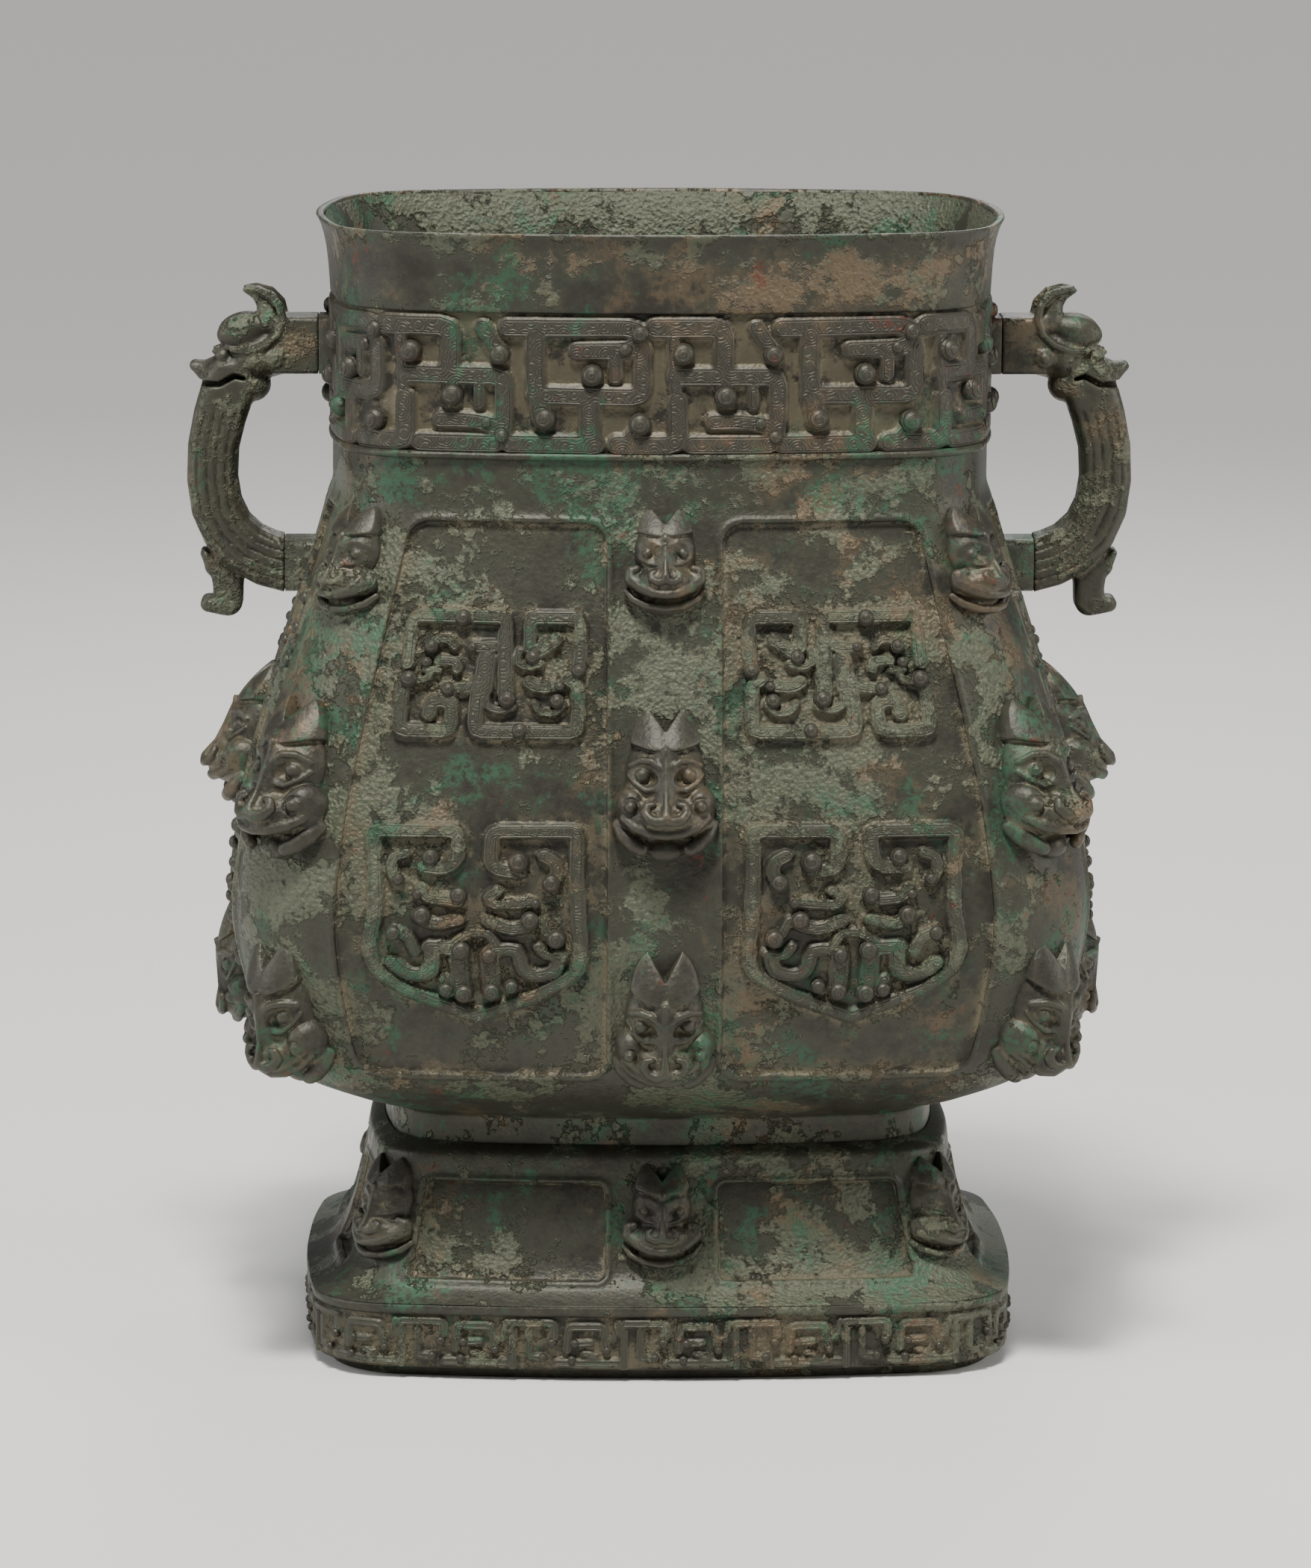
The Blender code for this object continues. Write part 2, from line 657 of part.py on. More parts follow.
def box(low, high):
    """A plain block between two corners."""
    x = (low[0], high[0])
    y = (low[1], high[1])
    z = (low[2], high[2])
    points = [(x[i], y[j], z[k]) for k in (0, 1) for i, j in ((0, 0), (1, 0), (1, 1), (0, 1))]
    faces = [[0, 1, 2, 3], [4, 5, 6, 7], [0, 1, 5, 4], [1, 2, 6, 5], [2, 3, 7, 6], [3, 0, 4, 7]]
    return close_faces(mesh_from("box", points, faces))


def stub(hand, z, face):
    """The block on the vessel's side that one root of a handle was joined to."""
    near = wall_at(z).half_width - STUB_ROOT
    low_x, high_x = sorted((hand * near, hand * face))
    return box((low_x, -HANDLE_DEPTH / 2, z - ROOT_TALL / 2), (high_x, HANDLE_DEPTH / 2, z + ROOT_TALL / 2))


def vessel():
    shell = vessel_shell()
    stubs = [stub(hand, z, face) for hand in (-1, 1)
             for z, face in ((UPPER_ROOT_Z, STUB_FACE_UPPER), (LOWER_ROOT_Z, STUB_FACE_LOWER))]
    relief = [piece for side in range(SIDES) for half in (-1, 1) for piece in block_relief(side, half)]
    relief += band_relief(RIDGE_Z + RIDGE_TALL, BAND_TOP_Z, NECK_UNITS, NECK_STROKES,
                          NECK_STROKE_WIDTH)
    relief += band_relief(BASE_STRIP_TOP, FOOT_BAND_TOP, FOOT_UNITS, FOOT_STROKES,
                          FOOT_STROKE_WIDTH)
    whole = combined("vessel", shell, [joined("masks", all_masks() + stubs), joined("relief", relief)])
    return new_object("vessel", merge_flat(whole))


def merge_flat(mesh):
    """Takes out the edges and points that cross flat ground, and splits what is left into triangles."""
    work = bmesh.new()
    work.from_mesh(mesh)
    bmesh.ops.dissolve_limit(work, angle_limit=FLAT_ANGLE, verts=work.verts, edges=work.edges)
    bmesh.ops.triangulate(work, faces=work.faces)
    work.to_mesh(mesh)
    work.free()
    return mesh


# Stations down a handle's strap: the inner and the outer edge, as shares of its reach beyond
# the upper stub, and of the height from the lower root to the upper one
STRAP = (
    ((0.00, 0.88), (0.00, 1.12)),
    ((0.26, 0.86), (0.22, 1.12)),
    ((0.44, 0.74), (0.62, 1.08)),
    ((0.56, 0.60), (0.88, 0.82)),
    ((0.61, 0.42), (0.97, 0.60)),
    ((0.60, 0.32), (1.00, 0.36)),
    ((0.53, 0.22), (0.95, 0.16)),
    ((0.42, 0.15), (0.78, 0.00)),
)
SNOUT = ((0.55, 1.10), (0.78, 0.98), (0.93, 0.93), (0.88, 0.84), (0.60, 0.82), (0.36, 0.84))
CREST = ((0.12, 1.10), (0.26, 1.23), (0.47, 1.235), (0.40, 1.17), (0.56, 1.10), (0.66, 1.04),
         (0.40, 0.98))
TAIL = ((0.86, 0.10), (0.82, -0.06), (0.90, -0.18), (0.82, -0.24), (0.66, -0.255), (0.54, -0.05))
STRAP_ROUNDING = 0.55


def handle_spot(share):
    """Shares of a handle's reach and height as x and z."""
    reach = HANDLE_REACH - STUB_FACE_UPPER - JOINT_GAP
    x = STUB_FACE_UPPER + JOINT_GAP + share[0] * reach
    z = LOWER_ROOT_Z + share[1] * (UPPER_ROOT_Z - LOWER_ROOT_Z)
    return x, z


def plate(shape, thickness, dome=1.0):
    """An upright plate of a side outline, its faces shrunk towards their middle."""
    outline_points = [Vector(handle_spot(p)) for p in shape]
    middle = sum(outline_points, Vector((0, 0))) / len(shape)
    left, centre, right = [], [], []
    for point in outline_points:
        inner = middle.lerp(point, dome)
        left.append((inner.x, -thickness / 2, inner.y))
        centre.append((point.x, 0.0, point.y))
        right.append((inner.x, thickness / 2, inner.y))
    count = len(shape)
    faces = [list(range(count)), list(range(2 * count, 3 * count))]
    for start in (0, count):
        faces += [[start + k, start + (k + 1) % count, start + count + (k + 1) % count,
                   start + count + k] for k in range(count)]
    return close_faces(mesh_from("plate", [*left, *centre, *right], faces))


def strap():
    """The bowed strap, as a loft of eight-sided rings between its two edges."""
    stations = [(Vector(handle_spot(a)), Vector(handle_spot(b))) for a, b in STRAP]
    root = STUB_FACE_LOWER + JOINT_GAP
    stations.append((Vector((root, LOWER_ROOT_Z + ROOT_TALL / 2)),
                     Vector((root, LOWER_ROOT_Z - ROOT_TALL / 2))))
    points, faces = [], []
    half = HANDLE_DEPTH / 2
    shares = [(-STRAP_ROUNDING, 0.0), (STRAP_ROUNDING, 0.0), (1.0, 0.25), (1.0, 0.75),
              (STRAP_ROUNDING, 1.0), (-STRAP_ROUNDING, 1.0), (-1.0, 0.75), (-1.0, 0.25)]
    for inner, outer in stations:
        for across, share in shares:
            spot = inner.lerp(outer, share)
            points.append((spot.x, across * half, spot.y))
    count = len(shares)
    faces = [list(range(count)), list(range(len(points) - count, len(points)))]
    for i in range(len(stations) - 1):
        faces += [[i * count + k, i * count + (k + 1) % count,
                   (i + 1) * count + (k + 1) % count, (i + 1) * count + k] for k in range(count)]
    return close_faces(mesh_from("strap", points, faces))


def handle_mesh():
    """The handle on the +X side: strap, beast's head, crest and hooked tail."""
    pieces = [plate(SNOUT, HANDLE_DEPTH, 0.7), plate(CREST, HANDLE_DEPTH * 0.55, 0.7),
              plate(TAIL, HANDLE_DEPTH * 0.6, 0.8)]
    return merge_flat(combined("handle", strap(), pieces))


def handles():
    right = handle_mesh()
    left = right.copy()
    left.transform(Matrix.Scale(-1, 4, Vector((1, 0, 0))))
    return [new_object("handle_right", close_faces(right)), new_object("handle_left", close_faces(left))]


def bronze(name, colour, roughness, metallic):
    material = bpy.data.materials.new(name)
    material.use_nodes = True
    shader = material.node_tree.nodes["Principled BSDF"]
    shader.inputs["Base Color"].default_value = (*colour, 1.0)
    shader.inputs["Roughness"].default_value = roughness
    shader.inputs["Metallic"].default_value = metallic
    return material


def build():
    for thing in list(bpy.data.objects):
        bpy.data.objects.remove(thing)
    body = vessel()
    body.data.materials.clear()
    body.data.materials.append(bronze("patinated bronze", (0.10, 0.12, 0.08), 0.62, 0.35))
    skin = bronze("darker handle bronze", (0.08, 0.09, 0.07), 0.55, 0.45)
    for thing in handles():
        thing.data.materials.clear()
        thing.data.materials.append(skin)


build()
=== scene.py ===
"""The looks of a cast bronze wine vessel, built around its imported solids.

Metres, +Z up. The broad front faces -Y, and the vessel stands on the floor at the origin."""

import math

import bmesh
import bpy
import numpy as np
from mathutils import Matrix, Vector


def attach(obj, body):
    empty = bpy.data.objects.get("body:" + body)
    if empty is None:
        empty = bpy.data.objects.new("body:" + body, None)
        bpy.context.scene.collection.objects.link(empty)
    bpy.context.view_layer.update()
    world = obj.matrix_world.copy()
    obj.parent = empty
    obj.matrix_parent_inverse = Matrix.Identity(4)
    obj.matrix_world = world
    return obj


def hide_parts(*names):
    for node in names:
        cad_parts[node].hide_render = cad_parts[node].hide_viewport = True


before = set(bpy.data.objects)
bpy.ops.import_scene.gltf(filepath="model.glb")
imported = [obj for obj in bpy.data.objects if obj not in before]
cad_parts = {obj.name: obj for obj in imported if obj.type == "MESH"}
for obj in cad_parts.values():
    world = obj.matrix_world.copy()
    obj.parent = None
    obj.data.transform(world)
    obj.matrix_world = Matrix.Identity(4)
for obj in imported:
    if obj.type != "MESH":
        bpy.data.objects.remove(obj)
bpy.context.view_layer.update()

# Floor, light and camera
# A pale seamless floor, a small key lamp and a wide overhead light from above the front, weak
# lamps at both sides and behind, and a long lens a little above the vessel's middle.
FLOOR_REACH, FLOOR_COLOUR = 40.0, (0.74, 0.73, 0.71, 1.0)
SKY_COLOUR, SKY_STRENGTH = (0.80, 0.82, 0.85, 1.0), 0.20
OVERHEAD_STRENGTH, OVERHEAD_SPREAD = 1.9, math.radians(14)
OVERHEAD_TURN = (math.radians(24), 0.0, math.radians(-12))
AIM = Vector((0.0, 0.0, 0.235))
CAMERA_DISTANCE = 3.0
CAMERA_RISE, CAMERA_TURN, CAMERA_ROLL = (math.radians(a) for a in (10.5, 1.3, 0.2))
LENS, SENSOR, LENS_SHIFT = 154.3, 36.0, (-0.0018, 0.0127)


def in_scene(name, data):
    """A new object, linked into the scene."""
    thing = bpy.data.objects.new(name, data)
    bpy.context.scene.collection.objects.link(thing)
    return thing


floor_mesh = bpy.data.meshes.new("floor")
corners = [(x * FLOOR_REACH, y * FLOOR_REACH, 0.0) for x, y in ((-1, -1), (1, -1), (1, 1), (-1, 1))]
floor_mesh.from_pydata(corners, [], [(0, 1, 2, 3)])
floor = in_scene("floor", floor_mesh)
paper = bpy.data.materials.new("pale paper")
paper.use_nodes = True
paper_shader = paper.node_tree.nodes["Principled BSDF"]
paper_shader.inputs["Base Color"].default_value = FLOOR_COLOUR
paper_shader.inputs["Roughness"].default_value = 0.9
floor_mesh.materials.append(paper)


def soft_light(name, place, size, power, colour):
    """A square area light turned towards the vessel."""
    lamp = bpy.data.lights.new(name, "AREA")
    lamp.shape = "SQUARE"
    lamp.size = size
    lamp.energy = power
    lamp.color = colour
    thing = in_scene(name, lamp)
    thing.location = place
    thing.rotation_euler = (AIM - Vector(place)).to_track_quat("-Z", "Y").to_euler()


soft_light("key", (-0.15, -0.85, 2.10), 0.30, 44.0, (1.0, 0.975, 0.93))
soft_light("left side", (-1.7, -0.35, 0.80), 0.7, 13.0, (0.97, 0.985, 1.0))
soft_light("right side", (1.7, -0.35, 0.80), 0.7, 14.0, (1.0, 0.985, 0.96))
soft_light("back rim", (0.3, 1.9, 1.7), 1.0, 22.0, (1.0, 1.0, 1.0))
overhead = bpy.data.lights.new("overhead", "SUN")
overhead.energy = OVERHEAD_STRENGTH
overhead.angle = OVERHEAD_SPREAD
overhead.color = (1.0, 0.99, 0.97)
in_scene("overhead", overhead).rotation_euler = OVERHEAD_TURN
world = bpy.data.worlds.new("studio")
world.use_nodes = True
world.node_tree.nodes["Background"].inputs["Color"].default_value = SKY_COLOUR
world.node_tree.nodes["Background"].inputs["Strength"].default_value = SKY_STRENGTH
bpy.context.scene.world = world

lens = bpy.data.cameras.new("camera")
lens.sensor_fit = "VERTICAL"
lens.sensor_height = SENSOR
lens.lens = LENS
lens.shift_x, lens.shift_y = LENS_SHIFT
camera = in_scene("camera", lens)
away = Vector((-math.sin(CAMERA_TURN) * math.cos(CAMERA_RISE),
               -math.cos(CAMERA_TURN) * math.cos(CAMERA_RISE), math.sin(CAMERA_RISE)))
camera.location = AIM + away * CAMERA_DISTANCE
turn = (-away).to_track_quat("-Z", "Y").to_matrix().to_4x4() @ Matrix.Rotation(CAMERA_ROLL, 4, "Z")
camera.rotation_euler = turn.to_euler()
bpy.context.scene.camera = camera

# Patina
# Bronze long in the ground: dark olive metal with a worn sheen on what stands proud, a thin
# grey-green film, ragged crust in patches and recesses, and small green, sandy and rusty spots.
# Recesses, the feet of relief and the panels' edges are also darkened with painted shade.
DARK_METAL = (0.024, 0.022, 0.017, 1.0)
WORN_METAL = (0.052, 0.048, 0.036, 1.0)
GREY_FILM = (0.062, 0.067, 0.045, 1.0)
GREY_CRUST = (0.118, 0.130, 0.080, 1.0)
SANDY_CRUST = (0.148, 0.100, 0.055, 1.0)
SILT = (0.135, 0.118, 0.074, 1.0)
MALACHITE = (0.032, 0.105, 0.056, 1.0)
CUPRITE = (0.110, 0.030, 0.016, 1.0)
# Dark pits in the crust; the same colour is the painted shade in hollows and at the feet of relief.
PITS_AND_SHADE = (0.018, 0.016, 0.011, 1.0)


def wired(tree, kind, inputs=(), **settings):
    """A node with its settings made and its inputs set or linked, by name or number."""
    node = tree.nodes.new(kind)
    for name, value in settings.items():
        setattr(node, name, value)
    for key, value in dict(inputs).items():
        if isinstance(value, bpy.types.NodeSocket):
            tree.links.new(value, node.inputs[key])
        else:
            node.inputs[key].default_value = value
    return node


def reckon(tree, operation, *values):
    """The result of one sum on values or sockets."""
    return wired(tree, "ShaderNodeMath", enumerate(values), operation=operation).outputs[0]


def mottle(tree, place, scale, detail=5.0, roughness=0.6):
    """Cloudy noise between 0 and 1."""
    settings = {"Vector": place, "Scale": scale, "Detail": detail, "Roughness": roughness}
    return wired(tree, "ShaderNodeTexNoise", settings).outputs["Fac"]


def ramp(tree, value, low, high):
    """A value's way from low to high as 0 to 1."""
    inputs = {"Value": value, "From Min": low, "From Max": high}
    return wired(tree, "ShaderNodeMapRange", inputs, interpolation_type="SMOOTHSTEP").outputs["Result"]


def tint(tree, share, first, second):
    """Two colours mixed by a share."""
    node = wired(tree, "ShaderNodeMix", {"Factor": share}, data_type="RGBA")
    for socket, colour in ((node.inputs["A"], first), (node.inputs["B"], second)):
        if isinstance(colour, bpy.types.NodeSocket):
            tree.links.new(colour, socket)
        else:
            socket.default_value = colour
    return node.outputs["Result"]


def patina_group():
    """The patina as a node group: colour, roughness, metal and height from place and relief, with painted
    shade in the relief's hollows.
    """
    tree = bpy.data.node_groups.new("buried bronze patina", "ShaderNodeTree")
    face = tree.interface
    face.new_socket("Place", in_out="INPUT", socket_type="NodeSocketVector")
    for name, value in (("Rise", 0.5), ("Grime", 0.0), ("Crust", 0.5), ("Green", 0.5), ("Sand", 0.5)):
        face.new_socket(name, in_out="INPUT", socket_type="NodeSocketFloat").default_value = value
    face.new_socket("Color", in_out="OUTPUT", socket_type="NodeSocketColor")
    for name in ("Roughness", "Metallic", "Height"):
        face.new_socket(name, in_out="OUTPUT", socket_type="NodeSocketFloat")
    given = tree.nodes.new("NodeGroupInput").outputs
    place = given["Place"]
    shifted, far = (wired(tree, "ShaderNodeVectorMath", {0: place, 1: step}, operation="ADD").outputs[0]
                    for step in ((3.1, 7.7, 5.3), (9.4, 2.6, 1.9)))

    def times(value, factor):
        return reckon(tree, "MULTIPLY", value, factor)

    def plus(value, other):
        return reckon(tree, "ADD", value, other)

    clouds = mottle(tree, place, 11.0, 6.0, 0.60)
    ragged = mottle(tree, shifted, 48.0, 6.0, 0.72)
    speckle = mottle(tree, place, 360.0, 5.0, 0.68)
    grain = mottle(tree, far, 1300.0, 2.0, 0.6)
    pebbles = wired(tree, "ShaderNodeTexVoronoi", {"Vector": place, "Scale": 520.0}).outputs["Distance"]

    reach = plus(times(clouds, 0.50), times(ragged, 0.50))
    reach = plus(reach, times(plus(given["Crust"], -0.5), 0.32))
    reach = plus(reach, times(given["Rise"], 0.02))
    film = ramp(tree, reach, 0.40, 0.56)
    crust = ramp(tree, plus(reach, times(plus(speckle, -0.5), 0.08)), 0.525, 0.555)
    sandy = ramp(tree, plus(mottle(tree, far, 17.0, 6.0, 0.72), times(given["Sand"], 0.16)), 0.61, 0.69)
    green = ramp(tree, plus(mottle(tree, shifted, 26.0, 6.0, 0.74), times(given["Green"], 0.17)), 0.61, 0.69)
    rust = ramp(tree, plus(mottle(tree, place, 40.0, 6.0, 0.78), times(given["Sand"], 0.03)), 0.635, 0.685)

    metal = tint(tree, ramp(tree, plus(times(given["Rise"], 0.45), times(speckle, 0.65)), 0.35, 0.85),
                 DARK_METAL, WORN_METAL)
    filmed = tint(tree, times(film, 0.60), metal, GREY_FILM)
    earth = tint(tree, times(sandy, 0.75), GREY_CRUST, SANDY_CRUST)
    earth = tint(tree, times(ramp(tree, speckle, 0.52, 0.36), 0.60), earth, PITS_AND_SHADE)
    colour = tint(tree, times(crust, 0.56), filmed, earth)
    colour = tint(tree, times(sandy, times(ramp(tree, ragged, 0.42, 0.56), 0.45)), colour, SANDY_CRUST)
    verdigris = times(green, ramp(tree, plus(speckle, times(given["Grime"], 0.10)), 0.38, 0.56))
    colour = tint(tree, times(verdigris, 0.72), colour, MALACHITE)
    colour = tint(tree, times(rust, times(ramp(tree, speckle, 0.40, 0.56), 0.80)), colour, CUPRITE)
    # Painted shade: darker toward the pit colour where the mesh notes shade and dirt at the feet of relief
    # and in hollows.
    colour = tint(tree, times(given["Grime"], 0.60), colour, PITS_AND_SHADE)
    silt = times(given["Grime"], ramp(tree, plus(ragged, times(given["Sand"], 0.20)), 0.53, 0.63))
    colour = tint(tree, times(silt, 0.90), colour, SILT)

    cover = plus(times(crust, 0.75), times(silt, 0.25))
    rough = plus(plus(0.42, times(cover, -0.14)), plus(times(speckle, 0.14), times(verdigris, 0.10)))
    height = times(crust, plus(0.00030, times(ragged, 0.00040)))
    height = plus(height, times(clouds, 0.00120))
    height = plus(height, times(ragged, 0.00055))
    bumpy = reckon(tree, "MULTIPLY_ADD", cover, 1.2, 0.22)
    height = plus(height, times(times(speckle, bumpy), 0.00095))
    height = plus(height, times(times(pebbles, bumpy), 0.00050))
    height = plus(height, times(grain, 0.00007))

    ends = tree.nodes.new("NodeGroupOutput").inputs
    tree.links.new(colour, ends["Color"])
    tree.links.new(rough, ends["Roughness"])
    tree.links.new(reckon(tree, "MULTIPLY_ADD", cover, -0.14, 0.42), ends["Metallic"])
    tree.links.new(height, ends["Height"])
    return tree


PATINA = patina_group()


def bronze(name, crust=0.5, green=0.5, sand=0.5, rise=0.5, relief=False, cut=None):
    """A bronze finish. Relief reads how proud each point is and how much painted shade and dirt the mesh
    notes there; cut adds incised lines to the height."""
    material = bpy.data.materials.new(name)
    material.use_nodes = True
    tree = material.node_tree
    shader = tree.nodes["Principled BSDF"]
    place = tree.nodes.new("ShaderNodeTexCoord").outputs["Object"]
    inputs = {"Place": place, "Crust": crust, "Green": green, "Sand": sand, "Rise": rise}
    if relief:
        for key, attribute in (("Rise", "rise"), ("Grime", "grime")):
            inputs[key] = wired(tree, "ShaderNodeAttribute", attribute_name=attribute).outputs["Fac"]
    patina = tree.nodes.new("ShaderNodeGroup")
    patina.node_tree = PATINA
    for key, value in inputs.items():
        if isinstance(value, bpy.types.NodeSocket):
            tree.links.new(value, patina.inputs[key])
        else:
            patina.inputs[key].default_value = value
    height = patina.outputs["Height"]
    if cut:
        height = reckon(tree, "ADD", height, cut(tree))
    bump = wired(tree, "ShaderNodeBump", {"Height": height, "Distance": 1.0, "Strength": 1.0})
    tree.links.new(patina.outputs["Color"], shader.inputs["Base Color"])
    tree.links.new(patina.outputs["Roughness"], shader.inputs["Roughness"])
    tree.links.new(patina.outputs["Metallic"], shader.inputs["Metallic"])
    tree.links.new(bump.outputs["Normal"], shader.inputs["Normal"])
    return material


# The body's wall
# One thin casting round a clay core: four sides that bow out between round corners, drawn in at
# the waist and the stem and full at the belly, with two sunk panels on each side.
WALL = 0.0045
STRIP = 0.050
NECK_BOW, BODY_BOW = 0.011, 0.008


def section(z, width, depth, corner, bow):
    """Height, half width, half depth, corner radius and bow of a section of the wall."""
    return np.array((z, width / 2, depth / 2, corner, bow))


def between(low, high, up, out):
    """A section between two others: up is its share of the height, out of everything else."""
    mixed = low + (high - low) * out
    mixed[0] = low[0] + (high[0] - low[0]) * up
    return mixed


WAIST = section(0.385, 0.288, 0.209, 0.040, NECK_BOW)
BELLY = section(0.205, 0.379, 0.272, 0.050, BODY_BOW)
STEM = section(0.110, 0.244, 0.170, 0.034, BODY_BOW)
SHOULDER_CURVE = ((0.05, 0.055), (0.13, 0.14), (0.32, 0.38), (0.53, 0.64), (0.76, 0.88))
UNDER_CURVE = ((0.40, 0.085), (0.695, 0.225), (0.80, 0.38), (0.92, 0.72))
RIDGE_Z, RIDGE_TALL, RIDGE_PROUD = 0.403, 0.003, 0.002
BODY = [WAIST + (RIDGE_Z - WAIST[0], 0, 0, 0, 0), WAIST, *(between(WAIST, BELLY, *s) for s in SHOULDER_CURVE),
        BELLY, *(between(BELLY, STEM, *s) for s in UNDER_CURVE), STEM, STEM - (0.012, 0, 0, 0, 0)]

PANEL_SUNK = 0.0022
PANEL = (0.376, 0.139, 0.0085, PANEL_SUNK)
PANEL_STEP = 0.0011
PANEL_LIP, LIP_SPREAD, LIP_SHARE = 0.0017, 0.0012, 0.35
CAST_WAVE, WAVE_SIZE = 0.00035, 0.045
RELIEF_PROUD = 0.0030
MM = 0.001
FAR_OUTSIDE = -0.02


def eased(knots, z):
    """The wall's sections at heights z, on a curve without overshoot through the knots."""
    knots = np.array(knots)[::-1]
    heights, sizes = knots[:, 0], knots[:, 1:]
    rise = np.diff(heights)[:, None]
    slope = np.diff(sizes, axis=0) / rise
    tangent = np.vstack([slope[:1], np.zeros_like(slope[:-1]), slope[-1:]])
    same = slope[:-1] * slope[1:] > 0
    total = np.where(same, slope[:-1] + slope[1:], 1.0)
    tangent[1:-1] = np.where(same, 2 * slope[:-1] * slope[1:] / total, 0.0)
    k = np.clip(np.searchsorted(heights, z) - 1, 0, len(rise) - 1)
    t = (z - heights[k])[:, None] / rise[k]
    return ((1 + 2 * t) * (1 - t) ** 2 * sizes[k] + t * (1 - t) ** 2 * rise[k] * tangent[k]
            + t * t * (3 - 2 * t) * sizes[k + 1] + t * t * (t - 1) * rise[k] * tangent[k + 1])


def side_arc(rows, side):
    """One side of each section as an arc, each value a column: out, bow, corner, core, radius, end."""
    half_width, half_depth, corner, bow = rows.T[:, :, None]
    side_bow = bow * (half_depth / half_width) ** 2
    if side % 2:
        half_width, half_depth, bow, side_bow = half_depth, half_width, side_bow, bow
    core = half_width - corner - side_bow
    radius = (core ** 2 + bow ** 2) / (2 * bow)
    return half_depth, bow, corner, core, radius + corner, core * (radius + corner) / radius


def side_grid(rows, side, u):
    """Along, out and the outward lean on one side: u runs from -1 to 1 over its middle strip, to
    2 at the side's end and to 3 at the middle of the corner."""
    out, bow, corner, core, radius, end = side_arc(rows, side)
    next_radius, next_end = side_arc(rows, side + 1)[4:]
    start = np.arcsin(end / radius)
    stop = math.pi / 2 - np.arcsin(next_end / next_radius)
    size = np.abs(u)[None, :]
    flat = np.minimum(np.where(size < 1, size * STRIP / 2, STRIP / 2 + (size - 1) * (end - STRIP / 2)), end)
    angle = start + (stop - start) / 2 * np.clip(size - 2, 0, 1)
    round_ = size > 2
    along = np.where(round_, core + corner * np.sin(angle), flat)
    lean = np.where(round_, np.sin(angle), flat / radius)
    depth = np.where(round_, out - bow - corner + corner * np.cos(angle),
                     out - radius + np.sqrt(radius ** 2 - flat ** 2))
    sign = np.where(u < 0, -1.0, 1.0)[None, :]
    return along * sign, depth, lean * sign, np.sqrt(1 - lean ** 2)


def turned(side, along, out):
    """Along and out of one side as x and y."""
    angle = side * math.pi / 2
    return (along * math.cos(angle) + out * math.sin(angle),
            along * math.sin(angle) - out * math.cos(angle))


def ladder(*stops):
    """Positions from the first stop to the last, each stretch with its own step."""
    runs = [np.linspace(a, b, max(2, round(abs(b - a) / step) + 1))[:-1]
            for (a, step), (b, _) in zip(stops, stops[1:])]
    return np.concatenate([*runs, [stops[-1][0]]])


def soft_step(value):
    """0 below 0, 1 above 1 and smooth between."""
    value = np.clip(value, 0.0, 1.0)
    return value * value * (3 - 2 * value)


def wander(points, size, seed=0.0):
    """A slow wave over the surface, as a cast wall has, between -1 and 1."""
    x, y, z = (points[..., i] / size * 2.1 + seed + 1.7 * i for i in range(3))
    return (np.sin(x + 1.3 * np.sin(y + 0.7 * z)) * np.cos(z * 1.3 + np.sin(x * 0.8))
            + 0.5 * np.sin(2.3 * y + np.cos(1.9 * z + x))) / 1.5


def rounded(path, cut):
    """A path with each corner turned into a short curve."""
    points = [np.array(p, float) for p in path]
    result = points[:1]
    for before, corner, after in zip(points, points[1:], points[2:]):
        into, out = before - corner, after - corner
        a = corner + into * min(0.45, cut / np.linalg.norm(into))
        b = corner + out * min(0.45, cut / np.linalg.norm(out))
        result += [a, (a + 2 * corner + b) / 4, b]
    return result + points[-1:]


def inside_strokes(p, q, strokes):
    """How far each point lies inside the nearest stroke, in metres, and negative outside."""
    deepest = np.full(p.shape, FAR_OUTSIDE)
    for path, width in strokes:
        line = rounded(path, width * 0.55)
        for a, b in zip(line, line[1:]):
            run = b - a
            share = np.clip(((p - a[0]) * run[0] + (q - a[1]) * run[1]) / (run @ run + 1e-12), 0, 1)
            away = np.hypot(p - a[0] - share * run[0], q - a[1] - share * run[1])
            np.maximum(deepest, width / 2 - away, out=deepest)
    return deepest


def carved(inside, proud, edge=0.0010):
    """The height of strokes with soft edges and slightly rounded backs, and two values for the finish: how
    proud each point is, and how much painted shade and dirt lies at the strokes' feet."""
    rise = soft_step(inside / edge + 0.6)
    height = proud * (rise + 0.12 * soft_step(inside / 0.0030))
    # Painted shade and dirt: darkest at the strokes' feet, fading out across the ground.
    grime = (1 - rise) * (0.50 + 0.50 * np.exp(np.minimum(inside, 0.0) / 0.0022))
    return height, rise, grime


def note(mesh, values):
    """Named values on a mesh's points."""
    for key, value in values.items():
        data = mesh.attributes.new(key, "FLOAT", "POINT").data
        data.foreach_set("value", np.ravel(value).astype(np.float32))


def solid_skin(name, points, quads, values):
    """A smooth mesh from arrays of points and quads."""
    mesh = bpy.data.meshes.new(name)
    mesh.from_pydata(points.tolist(), [], quads.tolist())
    mesh.shade_smooth()
    note(mesh, values)
    return mesh


